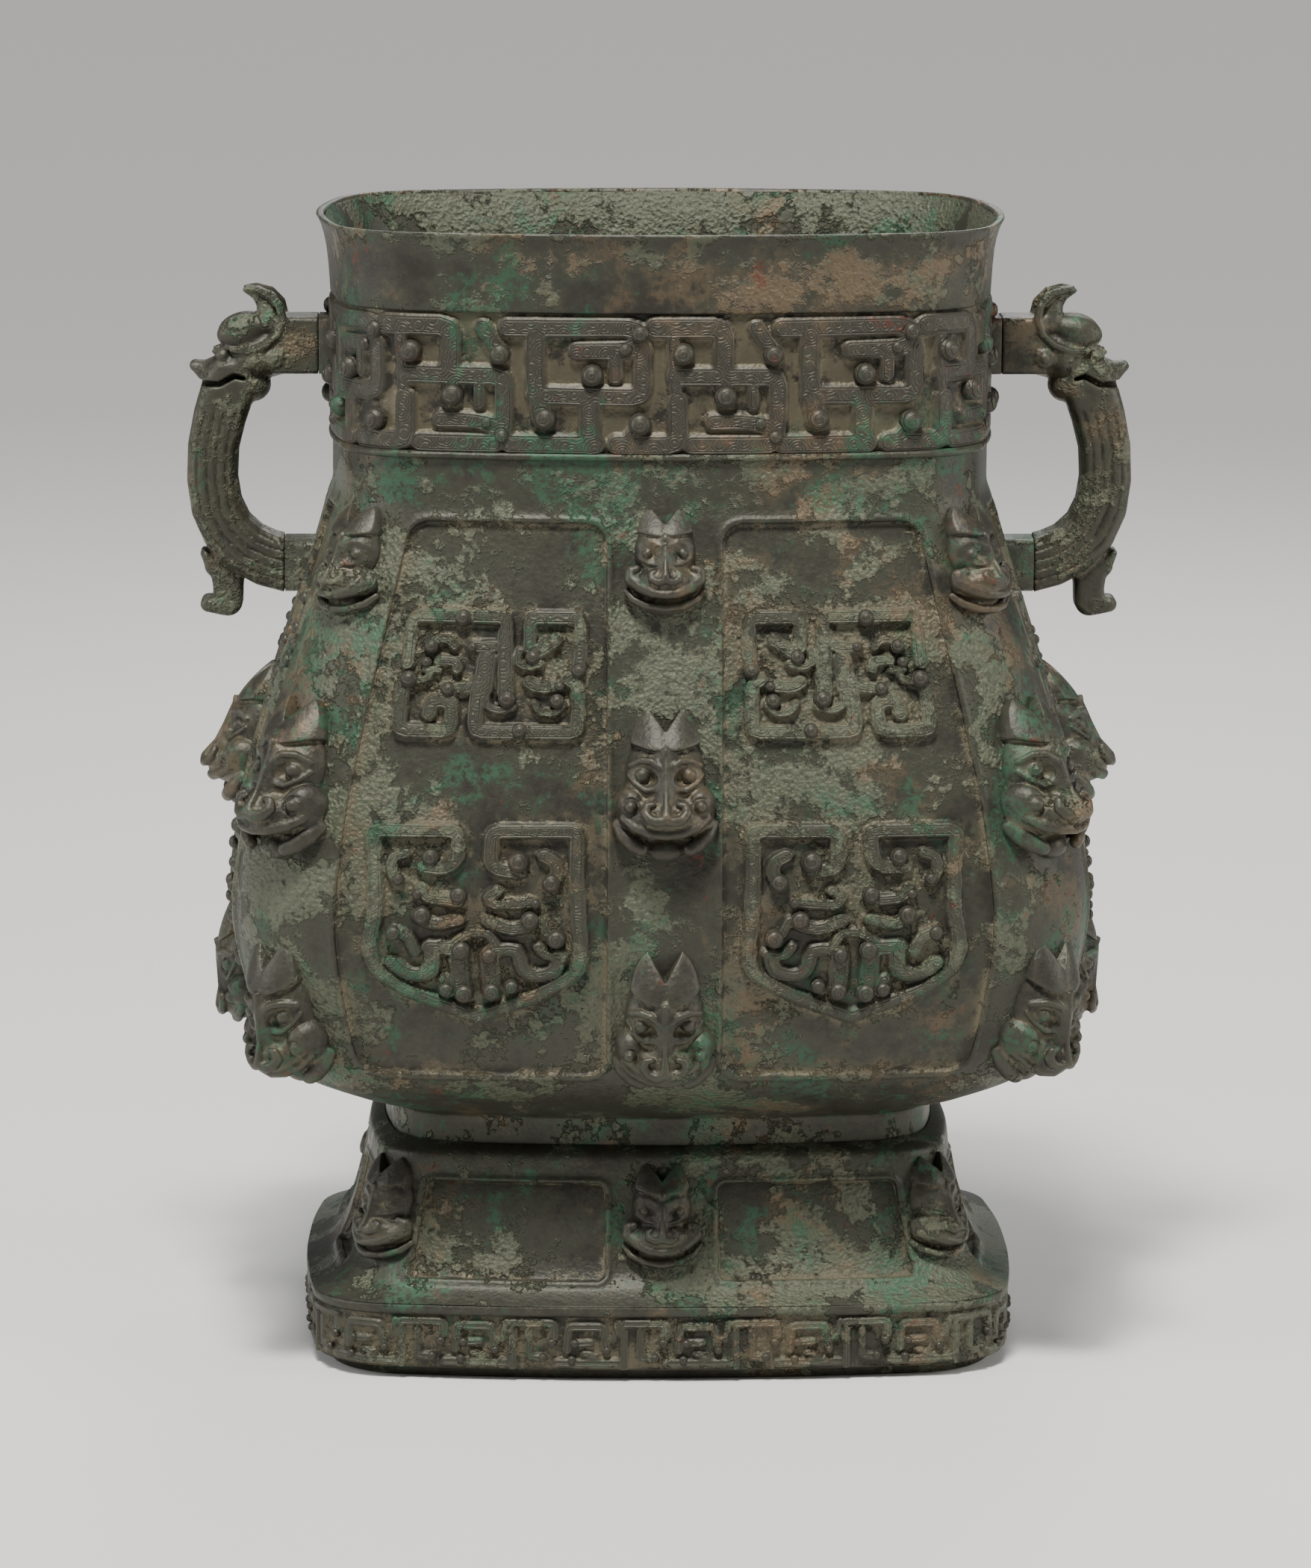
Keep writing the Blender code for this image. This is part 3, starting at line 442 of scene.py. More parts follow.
def skin(name, points, values, flip=False):
    """A smooth mesh over a grid of points, joined where its edges meet, with named values on its
    points."""
    rows, columns = points.shape[:2]
    index = np.arange(rows * columns).reshape(rows, columns)
    quads = np.stack([index[:-1, :-1], index[:-1, 1:], index[1:, 1:], index[1:, :-1]], -1).reshape(-1, 4)
    mesh = solid_skin(name, points.reshape(-1, 3), quads[:, ::-1] if flip else quads, values)
    joined = bmesh.new()
    joined.from_mesh(mesh)
    bmesh.ops.remove_doubles(joined, verts=joined.verts, dist=1e-7)
    joined.to_mesh(mesh)
    joined.free()
    return mesh


def placed(name, mesh, material, slot, *nodes):
    """A finished piece: its object at the origin, riding on the vessel and standing for nodes."""
    thing = in_scene(name, mesh)
    mesh.materials.clear()
    mesh.materials.append(material)
    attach(thing, "root")
    if nodes:
        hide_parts(*nodes)


def panel_edge(along, end, z, top, bottom, round_):
    """The distance outside a panel's edge, negative within it."""
    middle, half = (end + STRIP / 2) / 2, (end - STRIP / 2) / 2
    across = np.abs(np.abs(along) - middle) - (half - round_)
    up = np.abs(z - (top + bottom) / 2) - ((top - bottom) / 2 - round_)
    return np.hypot(np.maximum(across, 0), np.maximum(up, 0)) + np.minimum(np.maximum(across, up), 0) - round_


# Relief blocks
# Coiled dragons and clouds, carved in the mould sections and cast with the wall: a squared block
# above and a shield below in every panel. Strokes are shares of the block's width from the
# middle strip outwards and of its height; the last value of each is its width in millimetres.
UPPER_BLOCK = (0.286, 0.341, 0.0060)
UPPER_SIZE = (0.0855, 0.0565)
UPPER_STROKES = (
    (((0.92, 0.56), (0.95, 0.92), (0.45, 0.92), (0.44, 0.7)), 6.0),
    (((0.45, 0.8), (0.42, 0.35)), 7.6), (((0.53, 0.6), (0.53, 0.38)), 9.0),
    (((0.56, 0.44), (0.55, 0.05), (0.07, 0.05), (0.07, 0.41), (0.12, 0.46)), 6.4),
    (((0.51, 0.33), (0.5, 0.24), (0.44, 0.21), (0.38, 0.24)), 3.6),
    (((0.28, 0.27), (0.25, 0.2), (0.18, 0.19), (0.14, 0.26)), 3.4),
    (((0.31, 0.43), (0.27, 0.39), (0.19, 0.4)), 5.8),
    (((0.32, 0.7), (0.33, 0.92), (0.06, 0.92), (0.06, 0.62), (0.07, 0.54)), 6.2),
    (((0.37, 0.66), (0.385, 0.59), (0.33, 0.54), (0.26, 0.57)), 3.8),
    (((0.19, 0.75), (0.23, 0.71), (0.29, 0.65)), 6.6),
    (((0.82, 0.69), (0.79, 0.745), (0.74, 0.745), (0.7, 0.69)), 3.8),
    (((0.77, 0.585), (0.68, 0.58), (0.67, 0.52)), 4.6), (((0.83, 0.52), (0.76, 0.51)), 3.0),
    (((0.88, 0.42), (0.81, 0.44), (0.8, 0.49)), 3.6), (((0.7, 0.37), (0.6, 0.385)), 5.2),
    (((0.92, 0.37), (0.9, 0.05), (0.66, 0.05), (0.67, 0.28), (0.77, 0.285), (0.77, 0.18)), 6.4),
    (((0.61, 0.69), (0.5, 0.7)), 5.4),
)
UPPER_BOSSES = (
    (0.68, 0.91, 3.9), (0.82, 0.69, 3.2), (0.83, 0.57, 2.5), (0.9, 0.44, 4.0), (0.7, 0.37, 3.2),
    (0.61, 0.69, 2.4), (0.3, 0.62, 3.4), (0.07, 0.52, 3.4), (0.16, 0.4, 2.4), (0.17, 0.29, 3.4),
    (0.41, 0.3, 4.0), (0.34, 0.06, 3.6),
)
LOWER_BLOCK = (0.162, 0.251, 0.0030)
LOWER_SIZE = (0.1025, 0.0895)
LOWER_STROKES = (
    (((0.69, 0.785), (0.6, 0.775), (0.56, 0.83), (0.565, 0.955), (0.915, 0.955), (0.885, 0.77),
      (0.87, 0.57), (0.9, 0.37), (0.88, 0.27), (0.77, 0.17), (0.495, 0.04)), 6.4),
    (((0.32, 0.765), (0.4, 0.77), (0.43, 0.81), (0.43, 0.955), (0.085, 0.96), (0.09, 0.73), (0.08, 0.5),
      (0.07, 0.34), (0.09, 0.26), (0.25, 0.15), (0.495, 0.04)), 6.4),
    (((0.77, 0.845), (0.82, 0.83), (0.82, 0.76), (0.79, 0.71)), 4.8),
    (((0.22, 0.84), (0.17, 0.81), (0.165, 0.75), (0.19, 0.71)), 5.8),
    (((0.7, 0.68), (0.67, 0.63), (0.55, 0.62)), 5.0),
    (((0.4, 0.67), (0.44, 0.64), (0.41, 0.6), (0.27, 0.615)), 4.8),
    (((0.7, 0.54), (0.64, 0.5), (0.55, 0.53)), 5.6),
    (((0.27, 0.51), (0.34, 0.48), (0.43, 0.525)), 5.8),
    (((0.8, 0.47), (0.74, 0.44), (0.72, 0.37)), 4.8),
    (((0.24, 0.4), (0.21, 0.35), (0.14, 0.365)), 4.2), (((0.23, 0.53), (0.2, 0.46)), 3.8),
    (((0.66, 0.395), (0.55, 0.39)), 6.8),
    (((0.56, 0.42), (0.5, 0.47), (0.43, 0.465), (0.4, 0.4)), 4.2),
    (((0.65, 0.38), (0.66, 0.26), (0.75, 0.25), (0.81, 0.31)), 6.6),
    (((0.43, 0.375), (0.32, 0.39), (0.3, 0.27), (0.25, 0.25), (0.17, 0.28), (0.16, 0.34)), 6.0),
    (((0.55, 0.34), (0.55, 0.18)), 7.8), (((0.43, 0.34), (0.43, 0.18)), 7.8),
    (((0.61, 0.23), (0.6, 0.17)), 5.2),
)
LOWER_BOSSES = (
    (0.67, 0.83, 4.0), (0.32, 0.81, 4.8), (0.79, 0.72, 2.8), (0.19, 0.71, 4.2), (0.71, 0.65, 2.4),
    (0.55, 0.65, 3.9), (0.25, 0.61, 2.2), (0.69, 0.55, 4.2), (0.27, 0.53, 4.2), (0.8, 0.46, 3.4),
    (0.17, 0.44, 4.2), (0.54, 0.38, 4.4), (0.43, 0.355, 3.6), (0.61, 0.18, 3.4), (0.54, 0.165, 4.4),
    (0.43, 0.175, 4.2), (0.35, 0.2, 3.2),
)

CUT_INSET = 1.35
BOSS_ROOT, NARROW_BOSS = 0.7, 0.78
boss_spots = []


def block_on(along, end, z, block, size, strokes):
    """Where a block's relief stands on one side: the distance inside its strokes."""
    bottom, top, margin = block
    width = end.mean() - STRIP / 2 - 2 * margin
    across = (np.abs(along) - STRIP / 2 - margin) / (end - STRIP / 2 - 2 * margin)
    up = (z - bottom) / (top - bottom)
    inside = np.full(along.shape, FAR_OUTSIDE)
    near = (across > -0.1) & (across < 1.1) & (up > -0.1) & (up < 1.1)
    thin = min(1.0, (width / size[0]) ** 0.6)
    lines = [([(x * width, y * size[1]) for x, y in path], wide * MM * thin) for path, wide in strokes]
    inside[near] = inside_strokes(across[near] * width, up[near] * size[1], lines)
    return inside


def block_bosses(side, block, bosses):
    """Notes where a block's bosses stand on both halves of one side."""
    bottom, top, margin = block
    reach = 0.004
    thin = 1.0 if side % 2 == 0 else NARROW_BOSS
    for x, y, radius in bosses:
        z = np.array([bottom + (top - bottom) * y])
        rows, above, below = (eased(BODY, z + step) for step in (0.0, reach, -reach))
        end = side_arc(rows, side)[5][0, 0]
        along = STRIP / 2 + margin + (end - STRIP / 2 - 2 * margin) * x
        slope = math.atan2(float(below[0, 1 - side % 2] - above[0, 1 - side % 2]), 2 * reach)
        for half in (-1, 1):
            u = np.array([half * (1 + (along - STRIP / 2) / (end - STRIP / 2))])
            line, out, lean, square = (float(v[0, 0]) for v in side_grid(rows, side, u))
            normal = Vector((*turned(side, lean, square), 0.0)) * math.cos(slope)
            normal.z = math.sin(slope)
            foot = Vector((*turned(side, line, out), z[0]))
            spot = foot + normal * (RELIEF_PROUD * BOSS_ROOT - PANEL_SUNK)
            boss_spots.append((spot, normal, radius * MM * thin))


def panelled_side(name, knots, side, z, step, panel, blocks):
    """The wall of one side at heights z, with its two sunk panels and their relief. A panel is
    its top, bottom, corner radius and depth."""
    rows = eased(knots, z)
    end = side_arc(rows, side)[5]
    span = end.mean() - STRIP / 2
    inner = ladder((0.0, 0.006), (0.021, step), (STRIP / 2, 1.0)) / (STRIP / 2)
    outer = 1 + ladder((0.0, step), (span, 1.0)) / span
    bend = ladder((2.0, 0.02), (2.10, 0.12), (3.0, 1.0))
    u = np.concatenate([inner, outer[1:], bend[1:]])
    u = np.concatenate([-u[:0:-1], u])
    along, out, lean, square = side_grid(rows, side, u)
    height_at = z[:, None] + np.zeros_like(along)
    x, y = turned(side, along, out)
    points = np.stack([x, y, height_at], -1)

    *outline, depth = panel
    edge = panel_edge(along, end, height_at, *outline)
    edge = np.where(np.abs(u)[None, :] > 2.5, 0.01, edge)
    sunk = soft_step(0.5 - edge / PANEL_STEP)
    lip = LIP_SHARE * depth * np.exp(-((edge - PANEL_LIP) / LIP_SPREAD) ** 2)
    inside = np.full(along.shape, FAR_OUTSIDE)
    for block in blocks:
        inside = np.maximum(inside, block_on(along, end, height_at, *block))
    relief, rise, grime = carved(inside, RELIEF_PROUD)
    lift = lip - depth * sunk + relief + CAST_WAVE * wander(points, WAVE_SIZE)
    slope = np.arctan(-np.gradient(rows[:, 1 - side % 2], z))[:, None]
    nx, ny = turned(side, lean, square)
    normal = np.stack([nx * np.cos(slope), ny * np.cos(slope), np.sin(slope) + 0 * nx], -1)

    # Painted shade inside each sunk panel along its edges, and a painted shadow line along the panel's edge,
    # added to the strokes' painted shade and dirt.
    grime = grime * soft_step(1 + inside / 0.006) + 0.8 * sunk * np.exp(-np.maximum(-edge, 0) / 0.003)
    grime = grime + 0.9 * np.exp(-((edge + 0.0004) / 0.0011) ** 2)
    rise = np.where(inside > -0.0004, 0.35 + 0.65 * rise, 0.45)
    border = CUT_INSET - np.abs(edge + 0.0002) / MM
    values = {"rise": rise, "grime": np.clip(grime, 0, 1), "inset": np.maximum(inside / MM, border)}
    return skin(name, points + normal * lift[..., None], values)


def incised(tree):
    """Lines cut along the strokes' backs, and fine coils between them, from how far inside a
    stroke each point lies."""
    inset = wired(tree, "ShaderNodeAttribute", attribute_name="inset").outputs["Fac"]
    line = reckon(tree, "ABSOLUTE", reckon(tree, "SUBTRACT", inset, CUT_INSET))
    edges = ramp(tree, line, 0.50, 0.10)
    place = tree.nodes.new("ShaderNodeTexCoord").outputs["Object"]
    coils = wired(tree, "ShaderNodeTexVoronoi", {"Vector": place, "Scale": 150.0, "Randomness": 0.7})
    wave = reckon(tree, "FRACT", reckon(tree, "MULTIPLY", coils.outputs["Distance"], 5.6))
    coil = ramp(tree, reckon(tree, "ABSOLUTE", reckon(tree, "SUBTRACT", wave, 0.5)), 0.34, 0.08)
    coil = reckon(tree, "MULTIPLY", coil, reckon(tree, "MULTIPLY", ramp(tree, inset, 1.7, 2.1), 0.6))
    return reckon(tree, "MULTIPLY", reckon(tree, "MAXIMUM", edges, coil), -0.00042)


relief_bronze = bronze("relief bronze", crust=0.55, green=0.5, sand=0.45, relief=True, cut=incised)
SIDE_NAMES = ("front", "right", "back", "left")
SIDE_STEPS = (0.00082, 0.0012, 0.0017, 0.0012)
for side, (name, step) in enumerate(zip(SIDE_NAMES, SIDE_STEPS)):
    levels = ladder((0.098, 0.003), (0.110, 0.0012), (0.134, step), (0.142, 0.0018), (0.158, step),
                    (0.256, 0.0024), (0.282, step), (0.345, 0.0024), (0.368, step), (0.380, 0.0024),
                    (RIDGE_Z, 0.002))
    mesh = panelled_side(f"body_{name}", BODY, side, levels, step, PANEL,
                         ((UPPER_BLOCK, UPPER_SIZE, UPPER_STROKES), (LOWER_BLOCK, LOWER_SIZE, LOWER_STROKES)))
    placed(f"body_{name}", mesh, relief_bronze, "vessel", "vessel")
    for block, bosses in ((UPPER_BLOCK, UPPER_BOSSES), (LOWER_BLOCK, LOWER_BOSSES)):
        block_bosses(side, block, bosses)

# Neck band
# The same casting, with a meander of dragons that runs right round under the collar: one pattern
# pressed eight times into the mould, wider on the broad sides. A ridge closes it below.
BAND_TOP = 0.466
NECK = section(BAND_TOP, 0.2855, 0.2065, 0.040, NECK_BOW)
NECK_WIDE, NECK_NARROW, NECK_COLUMNS, BAND_PROUD = 0.1165, 0.0967, 126, 0.0026
NECK_STROKES = (
    (((0.332, 0.89), (0.396, 0.71)), 7.2), (((0.423, 0.89), (0.872, 0.895), (0.908, 0.86)), 8.2),
    (((0.528, 0.89), (0.524, 0.55), (0.551, 0.25)), 8.8),
    (((0.524, 0.42), (0.918, 0.41), (0.918, 0.79), (0.863, 0.735), (0.68, 0.73)), 8.2),
    (((0.817, 0.73), (0.817, 0.55)), 6.2), (((0.725, 0.4), (0.725, 0.075)), 9.4),
    (((0.432, 0.075), (0.744, 0.075)), 8.6), (((0.826, 0.075), (1.046, 0.075), (1.046, 0.38)), 8.8),
    (((0.908, 0.22), (0.886, 0.15), (0.854, 0.09)), 5.8),
    (((-0.037, 0.895), (0.215, 0.895), (0.211, 0.58)), 9.0),
    (((0.027, 0.8), (0.032, 0.6), (0.037, 0.46)), 5.4),
    (((0.037, 0.555), (0.412, 0.55), (0.412, 0.23), (0.403, 0.14)), 8.2),
    (((0.174, 0.235), (0.266, 0.24), (0.348, 0.22), (0.394, 0.19)), 7.2),
    (((0.32, 0.47), (0.32, 0.35)), 5.0), (((0.101, 0.075), (0.375, 0.075)), 8.4),
    (((0.22, 0.41), (0.22, 0.54)), 6.0),
)
NECK_BOSSES = (
    (0.396, 0.7, 4.6), (0.908, 0.85, 4.0), (0.561, 0.25, 4.9), (0.734, 0.56, 4.9), (0.854, 0.74, 3.0),
    (0.908, 0.22, 5.0), (0.064, 0.71, 5.0), (0.22, 0.41, 4.9), (0.348, 0.22, 2.7),
    (0.403, 0.125, 3.2),
)


def ring(row, share):
    """Points and outward directions at shares of the way round one section, from the middle of
    the front to the right."""
    arcs = [[float(v[0, 0]) for v in side_arc(row[None], side)] for side in range(4)]
    out, bow, corner, core, radius, end = np.array(arcs).T
    half = np.arcsin(end / radius)
    turns = math.pi / 2 - half - np.roll(half, -1)
    runs = [half[0] * radius[0]]
    for side in range(4):
        after = (side + 1) % 4
        runs += [turns[side] * corner[side], half[after] * radius[after] * (2 if after else 1)]
    stops = np.concatenate([[0.0], np.cumsum(runs)])
    travel = share * stops[-1]
    spots = np.zeros((len(share), 4))
    for k, begin in enumerate(stops[:-1]):
        here = (travel >= begin) & (travel <= stops[k + 1])
        side = k // 2 % 4
        if k % 2:
            angle = half[side] + (travel[here] - begin) / corner[side]
            along = core[side] + corner[side] * np.sin(angle)
            depth = out[side] - bow[side] - corner[side] + corner[side] * np.cos(angle)
        else:
            angle = (travel[here] - begin) / radius[side] - (half[side] if k else 0.0)
            along = radius[side] * np.sin(angle)
            depth = out[side] - radius[side] + radius[side] * np.cos(angle)
        spots[here] = np.stack([*turned(side, along, depth), *turned(side, np.sin(angle), np.cos(angle))], -1)
    return spots, stops[-1]


def hoop(rows, share):
    """A grid of points right round a stack of sections, each with its height first, and the
    outward directions there."""
    spots = np.array([ring(row[1:], share)[0] for row in rows])
    heights = np.array([np.full(len(share), row[0]) for row in rows])
    return np.dstack([spots[..., :2], heights]), spots[..., 2:]


def relief_band(name, row, bottom, top, step, units, columns, strokes, bosses, proud):
    """A band of repeated relief on an upright wall, and the places of its bosses. Units are the
    widths of the pattern's repeats from the middle of the front, one for each."""
    tall = top - bottom
    shares = np.concatenate([[0.0], np.cumsum(units)]) / sum(units)
    counts = [round(columns * unit / max(units)) for unit in units]
    share = [np.linspace(a, b, count, endpoint=False) for a, b, count in zip(shares, shares[1:], counts)]
    share = np.concatenate([*share, [1.0]])
    z = np.arange(bottom, top + step / 2, step)
    stamps = {}
    for unit, count in set(zip(units, counts)):
        p, q = np.meshgrid(np.arange(count) / count * unit, z - bottom)
        lines = [([((x + k) * unit, y * tall) for x, y in path], wide * MM)
                 for k in (-1, 0, 1) for path, wide in strokes]
        stamps[unit] = inside_strokes(p, q, lines)
    inside = np.concatenate([stamps[unit] for unit in units], axis=1)
    inside = np.column_stack([inside, inside[:, 0]])
    relief, rise, grime = carved(inside, proud)
    points, normal = hoop([row + (height - row[0], 0, 0, 0, 0) for height in z], share)
    lift = relief + 0.0003 * wander(points, 0.03)
    points[..., :2] += normal * lift[..., None]
    for begin, end in zip(shares, shares[1:]):
        for x, y, size in bosses:
            spot, _ = ring(row[1:], np.array([(begin + (end - begin) * x) % 1.0]))
            place = Vector((spot[0, 0], spot[0, 1], bottom + y * tall))
            facing = Vector((spot[0, 2], spot[0, 3], 0.0))
            boss_spots.append((place + facing * proud * BOSS_ROOT, facing, size * MM))
    return skin(name, points, {"rise": 0.35 + 0.65 * rise, "grime": grime, "inset": inside / MM})


neck_mesh = relief_band("neck_band", NECK, RIDGE_Z + RIDGE_TALL - 0.0006, BAND_TOP + 0.0006, 0.00094,
                        (NECK_WIDE, *[NECK_NARROW] * 2, *[NECK_WIDE] * 2, *[NECK_NARROW] * 2, NECK_WIDE),
                        NECK_COLUMNS, NECK_STROKES, NECK_BOSSES, BAND_PROUD)
neck_bronze = bronze("neck bronze", crust=-0.05, green=0.40, sand=0.62, relief=True, cut=incised)
placed("neck_band", neck_mesh, neck_bronze, "vessel")

ridge_half = RIDGE_TALL / 2
ridge_rows = []
for angle in np.linspace(-math.pi / 2, math.pi / 2, 9):
    swell = 0.0012 + RIDGE_PROUD * math.cos(angle)
    rise = RIDGE_Z + ridge_half * (1 + 1.2 * math.sin(angle)) - BAND_TOP
    ridge_rows.append(NECK + (rise, swell, swell, 0, 0))
ridge_points, _ = hoop(ridge_rows, np.linspace(0, 1, 301))
plain_bronze = bronze("plain bronze", crust=0.48, green=0.45, sand=0.5)
placed("neck_ridge", skin("neck_ridge", ridge_points, {}), plain_bronze, "vessel")

# Collar, lip and inside
# The plain collar flares to a thin lip, ground flat on top. The inside is as cast and plain, with
# an even grey-green crust, and its floor closes the body above the stem.
FLOOR_Z = 0.1185
LIP_WAVE = 0.0005
COLLAR_SHAPE = (
    (0.4655, 0.0), (0.4661, 0.0018), (0.4668, 0.0023), (0.472, 0.0026), (0.479, 0.0030),
    (0.486, 0.0037), (0.491, 0.0047), (0.495, 0.0059), (0.4975, 0.0070), (0.4992, 0.0080),
    (0.4999, 0.0078), (0.5000, 0.0070), (0.5000, 0.0055), (0.4996, 0.0048), (0.4985, 0.0044),
)
INSIDE_SHAPE = (
    (0.4985, 0.0044), (0.494, 0.0022), (0.488, 0.0), (0.480, -0.0018), (0.472, -0.0031),
    (0.462, -0.0040), (0.445, -0.0045), (0.425, -0.0045), (0.406, -0.0043),
)
FLOOR_SHAPE = ((0.985, 0.25), (0.96, 0.6), (0.92, 0.9), (0.85, 1.0), (0.6, 1.0), (0.3, 1.0), (0.02, 1.0))


def neck_row(z, out):
    """A section of the neck at a height, moved out square to its sides."""
    wide = max(0.0, out - 0.0030) * 0.55
    return np.array((z, NECK[1] + out, NECK[2] + out, NECK[3] + out + wide, NECK[4]))


collar_points, collar_normal = hoop([neck_row(*s) for s in COLLAR_SHAPE], np.linspace(0, 1, 541))
lip_wave = LIP_WAVE * wander(collar_points, 0.06, 2.0) * soft_step((collar_points[..., 2] - 0.47) / 0.02)
collar_points[..., :2] += collar_normal * lip_wave[..., None]
collar_bronze = bronze("collar bronze", crust=0.50, green=0.40, sand=0.95, rise=0.2)
placed("collar", skin("collar", collar_points, {}), collar_bronze, "vessel")

inner_rows = [neck_row(*s) for s in INSIDE_SHAPE]
for z in np.arange(0.400, FLOOR_Z + 0.004, -0.004):
    outer, higher = eased(BODY, np.array([z, z + 0.002]))
    inset = WALL / math.cos(math.atan2(outer[0] - higher[0], 0.002))
    inner_rows.append(np.array((z, *(outer - (inset, inset, WALL, 0)))))
foot_of_wall = inner_rows[-1]
for share, drop in FLOOR_SHAPE:
    z = foot_of_wall[0] + (FLOOR_Z - foot_of_wall[0]) * drop
    inner_rows.append(np.concatenate([[z], foot_of_wall[1:] * share]))
inner_points, _ = hoop(inner_rows, np.linspace(0, 1, 181))
inner_points[-1, :, :2] = 0.0
inside_bronze = bronze("inside bronze", crust=0.66, green=0.62, sand=0.30)
placed("inside", skin("inside", inner_points, {}, flip=True), inside_bronze, "vessel")

# Foot
# Cast on below the stem: a spreading foot with two small sunk panels on each side, a rounded
# ledge, a band of small interlaced dragons and a plain lower edge. It is hollow from below.
FOOT_TOP = section(0.095, 0.258, 0.184, 0.028, BODY_BOW)
LEDGE = section(0.034, 0.315, 0.233, 0.036, BODY_BOW)
FOOT_BAND = section(0.029, 0.311, 0.229, 0.036, BODY_BOW)
BASE = section(0.005, 0.300, 0.219, 0.036, BODY_BOW)
FOOT_CURVE = ((0.20, 0.05), (0.60, 0.24), (0.80, 0.40), (0.90, 0.58), (0.96, 0.80))
FOOT = [STEM - (STEM[0] - 0.0990, 0, 0, 0, 0), STEM - (STEM[0] - 0.0975, -0.0040, -0.0040, 0, 0),
        FOOT_TOP, *(between(FOOT_TOP, LEDGE, *s) for s in FOOT_CURVE), LEDGE]
FOOT_PANEL = (0.083, 0.043, 0.0035, 0.0032)
HOLLOW_TOP = 0.1125
FOOT_UNITS, FOOT_COLUMNS = 20, 50
FOOT_STROKES = (
    (((0.145, 0.35), (0.16, 0.8), (0.46, 0.8), (0.5, 0.37)), 3.6), (((0.04, 0.12), (0.6, 0.12)), 3.6),
    (((0.655, 0.05), (0.655, 0.72)), 3.4), (((0.66, 0.86), (1.03, 0.86), (1.03, 0.6)), 3.6),
    (((0.8, 0.72), (0.8, 0.22), (0.93, 0.2)), 3.2), (((0.22, 0.48), (0.36, 0.5)), 3.0),
    (((0.3, 0.3), (0.4, 0.24)), 2.6), (((0.56, 0.55), (0.6, 0.88)), 2.6),
)
FOOT_BOSSES = (
    (0.213, 0.49, 2.0), (0.008, 0.50, 2.1), (0.188, 0.185, 1.9), (0.93, 0.22, 2.0), (0.50, 0.36, 1.8),
)

foot_levels = ladder((0.034, 0.0008), (0.047, 0.0020), (0.079, 0.0008), (0.087, 0.0015), (0.0988, 0.001))
for side, name in enumerate(SIDE_NAMES):
    step = 0.0011 if side == 0 else 0.0018
    mesh = panelled_side(f"foot_{name}", FOOT, side, foot_levels, step, FOOT_PANEL, ())
    placed(f"foot_{name}", mesh, relief_bronze, "vessel")

band_mesh = relief_band("foot_band", FOOT_BAND, BASE[0] + 0.0006, FOOT_BAND[0] + 0.0004, 0.00088,
                        (1.0 / FOOT_UNITS,) * FOOT_UNITS, FOOT_COLUMNS, FOOT_STROKES, FOOT_BOSSES, 0.0018)
placed("foot_band", band_mesh, relief_bronze, "vessel")


def stack(base, *shape):
    """Sections at named heights and steps outwards from one section."""
    return [np.array((z, base[1] + out, base[2] + out, base[3], base[4])) for z, out in shape]


ledge_rows = stack(FOOT_BAND, (0.0285, -0.0005), (0.0290, 0.0010), (0.0302, 0.0019), (0.0318, 0.0023),
                   (0.0332, 0.0021), (0.0341, 0.0014))
ledge_points, _ = hoop(ledge_rows, np.linspace(0, 1, 401))
placed("foot_ledge", skin("foot_ledge", ledge_points, {}), plain_bronze, "vessel")

under_rows = [np.array((HOLLOW_TOP, *STEM[1:] * share * 0.96)) for share in (0.02, 0.3, 0.6, 0.97)]
under_rows += stack(STEM, (0.1115, -WALL - 0.0004), (0.099, -WALL))
under_rows += stack(FOOT_TOP, (0.092, -0.0050), (0.080, -0.0005), (0.060, 0.0045))
under_rows += stack(LEDGE, (0.043, -0.0200), (0.0345, -0.0095))
under_rows += stack(BASE, (0.030, -WALL + 0.0025), (0.016, -WALL + 0.0015), (0.0006, -WALL),
                    (0.0, -WALL + 0.0006), (0.0, -0.0008), (0.0006, -0.0001), (0.0040, 0.0), (0.0048, 0.0006))
under_rows += stack(FOOT_BAND, (0.0050, -0.0008), (0.0056, 0.0003), (0.0062, -0.0006))
under_points, _ = hoop(under_rows, np.linspace(0, 1, 301))
under_points[0, :, :2] = 0.0
placed("foot_edge_and_hollow", skin("foot_edge_and_hollow", under_points, {}), plain_bronze, "vessel")

# Bosses
# Small domes with a spiral line, cast where the dragons' bodies curl. One dome is placed at every
# noted spot by a tree of nodes, turned square to the wall there.
DOME = ((1.0, -0.75), (1.0, -0.05), (0.93, 0.36), (0.76, 0.68), (0.45, 0.91))
DOME_SIDES = 12
SPIRAL_TURNS = 2.4


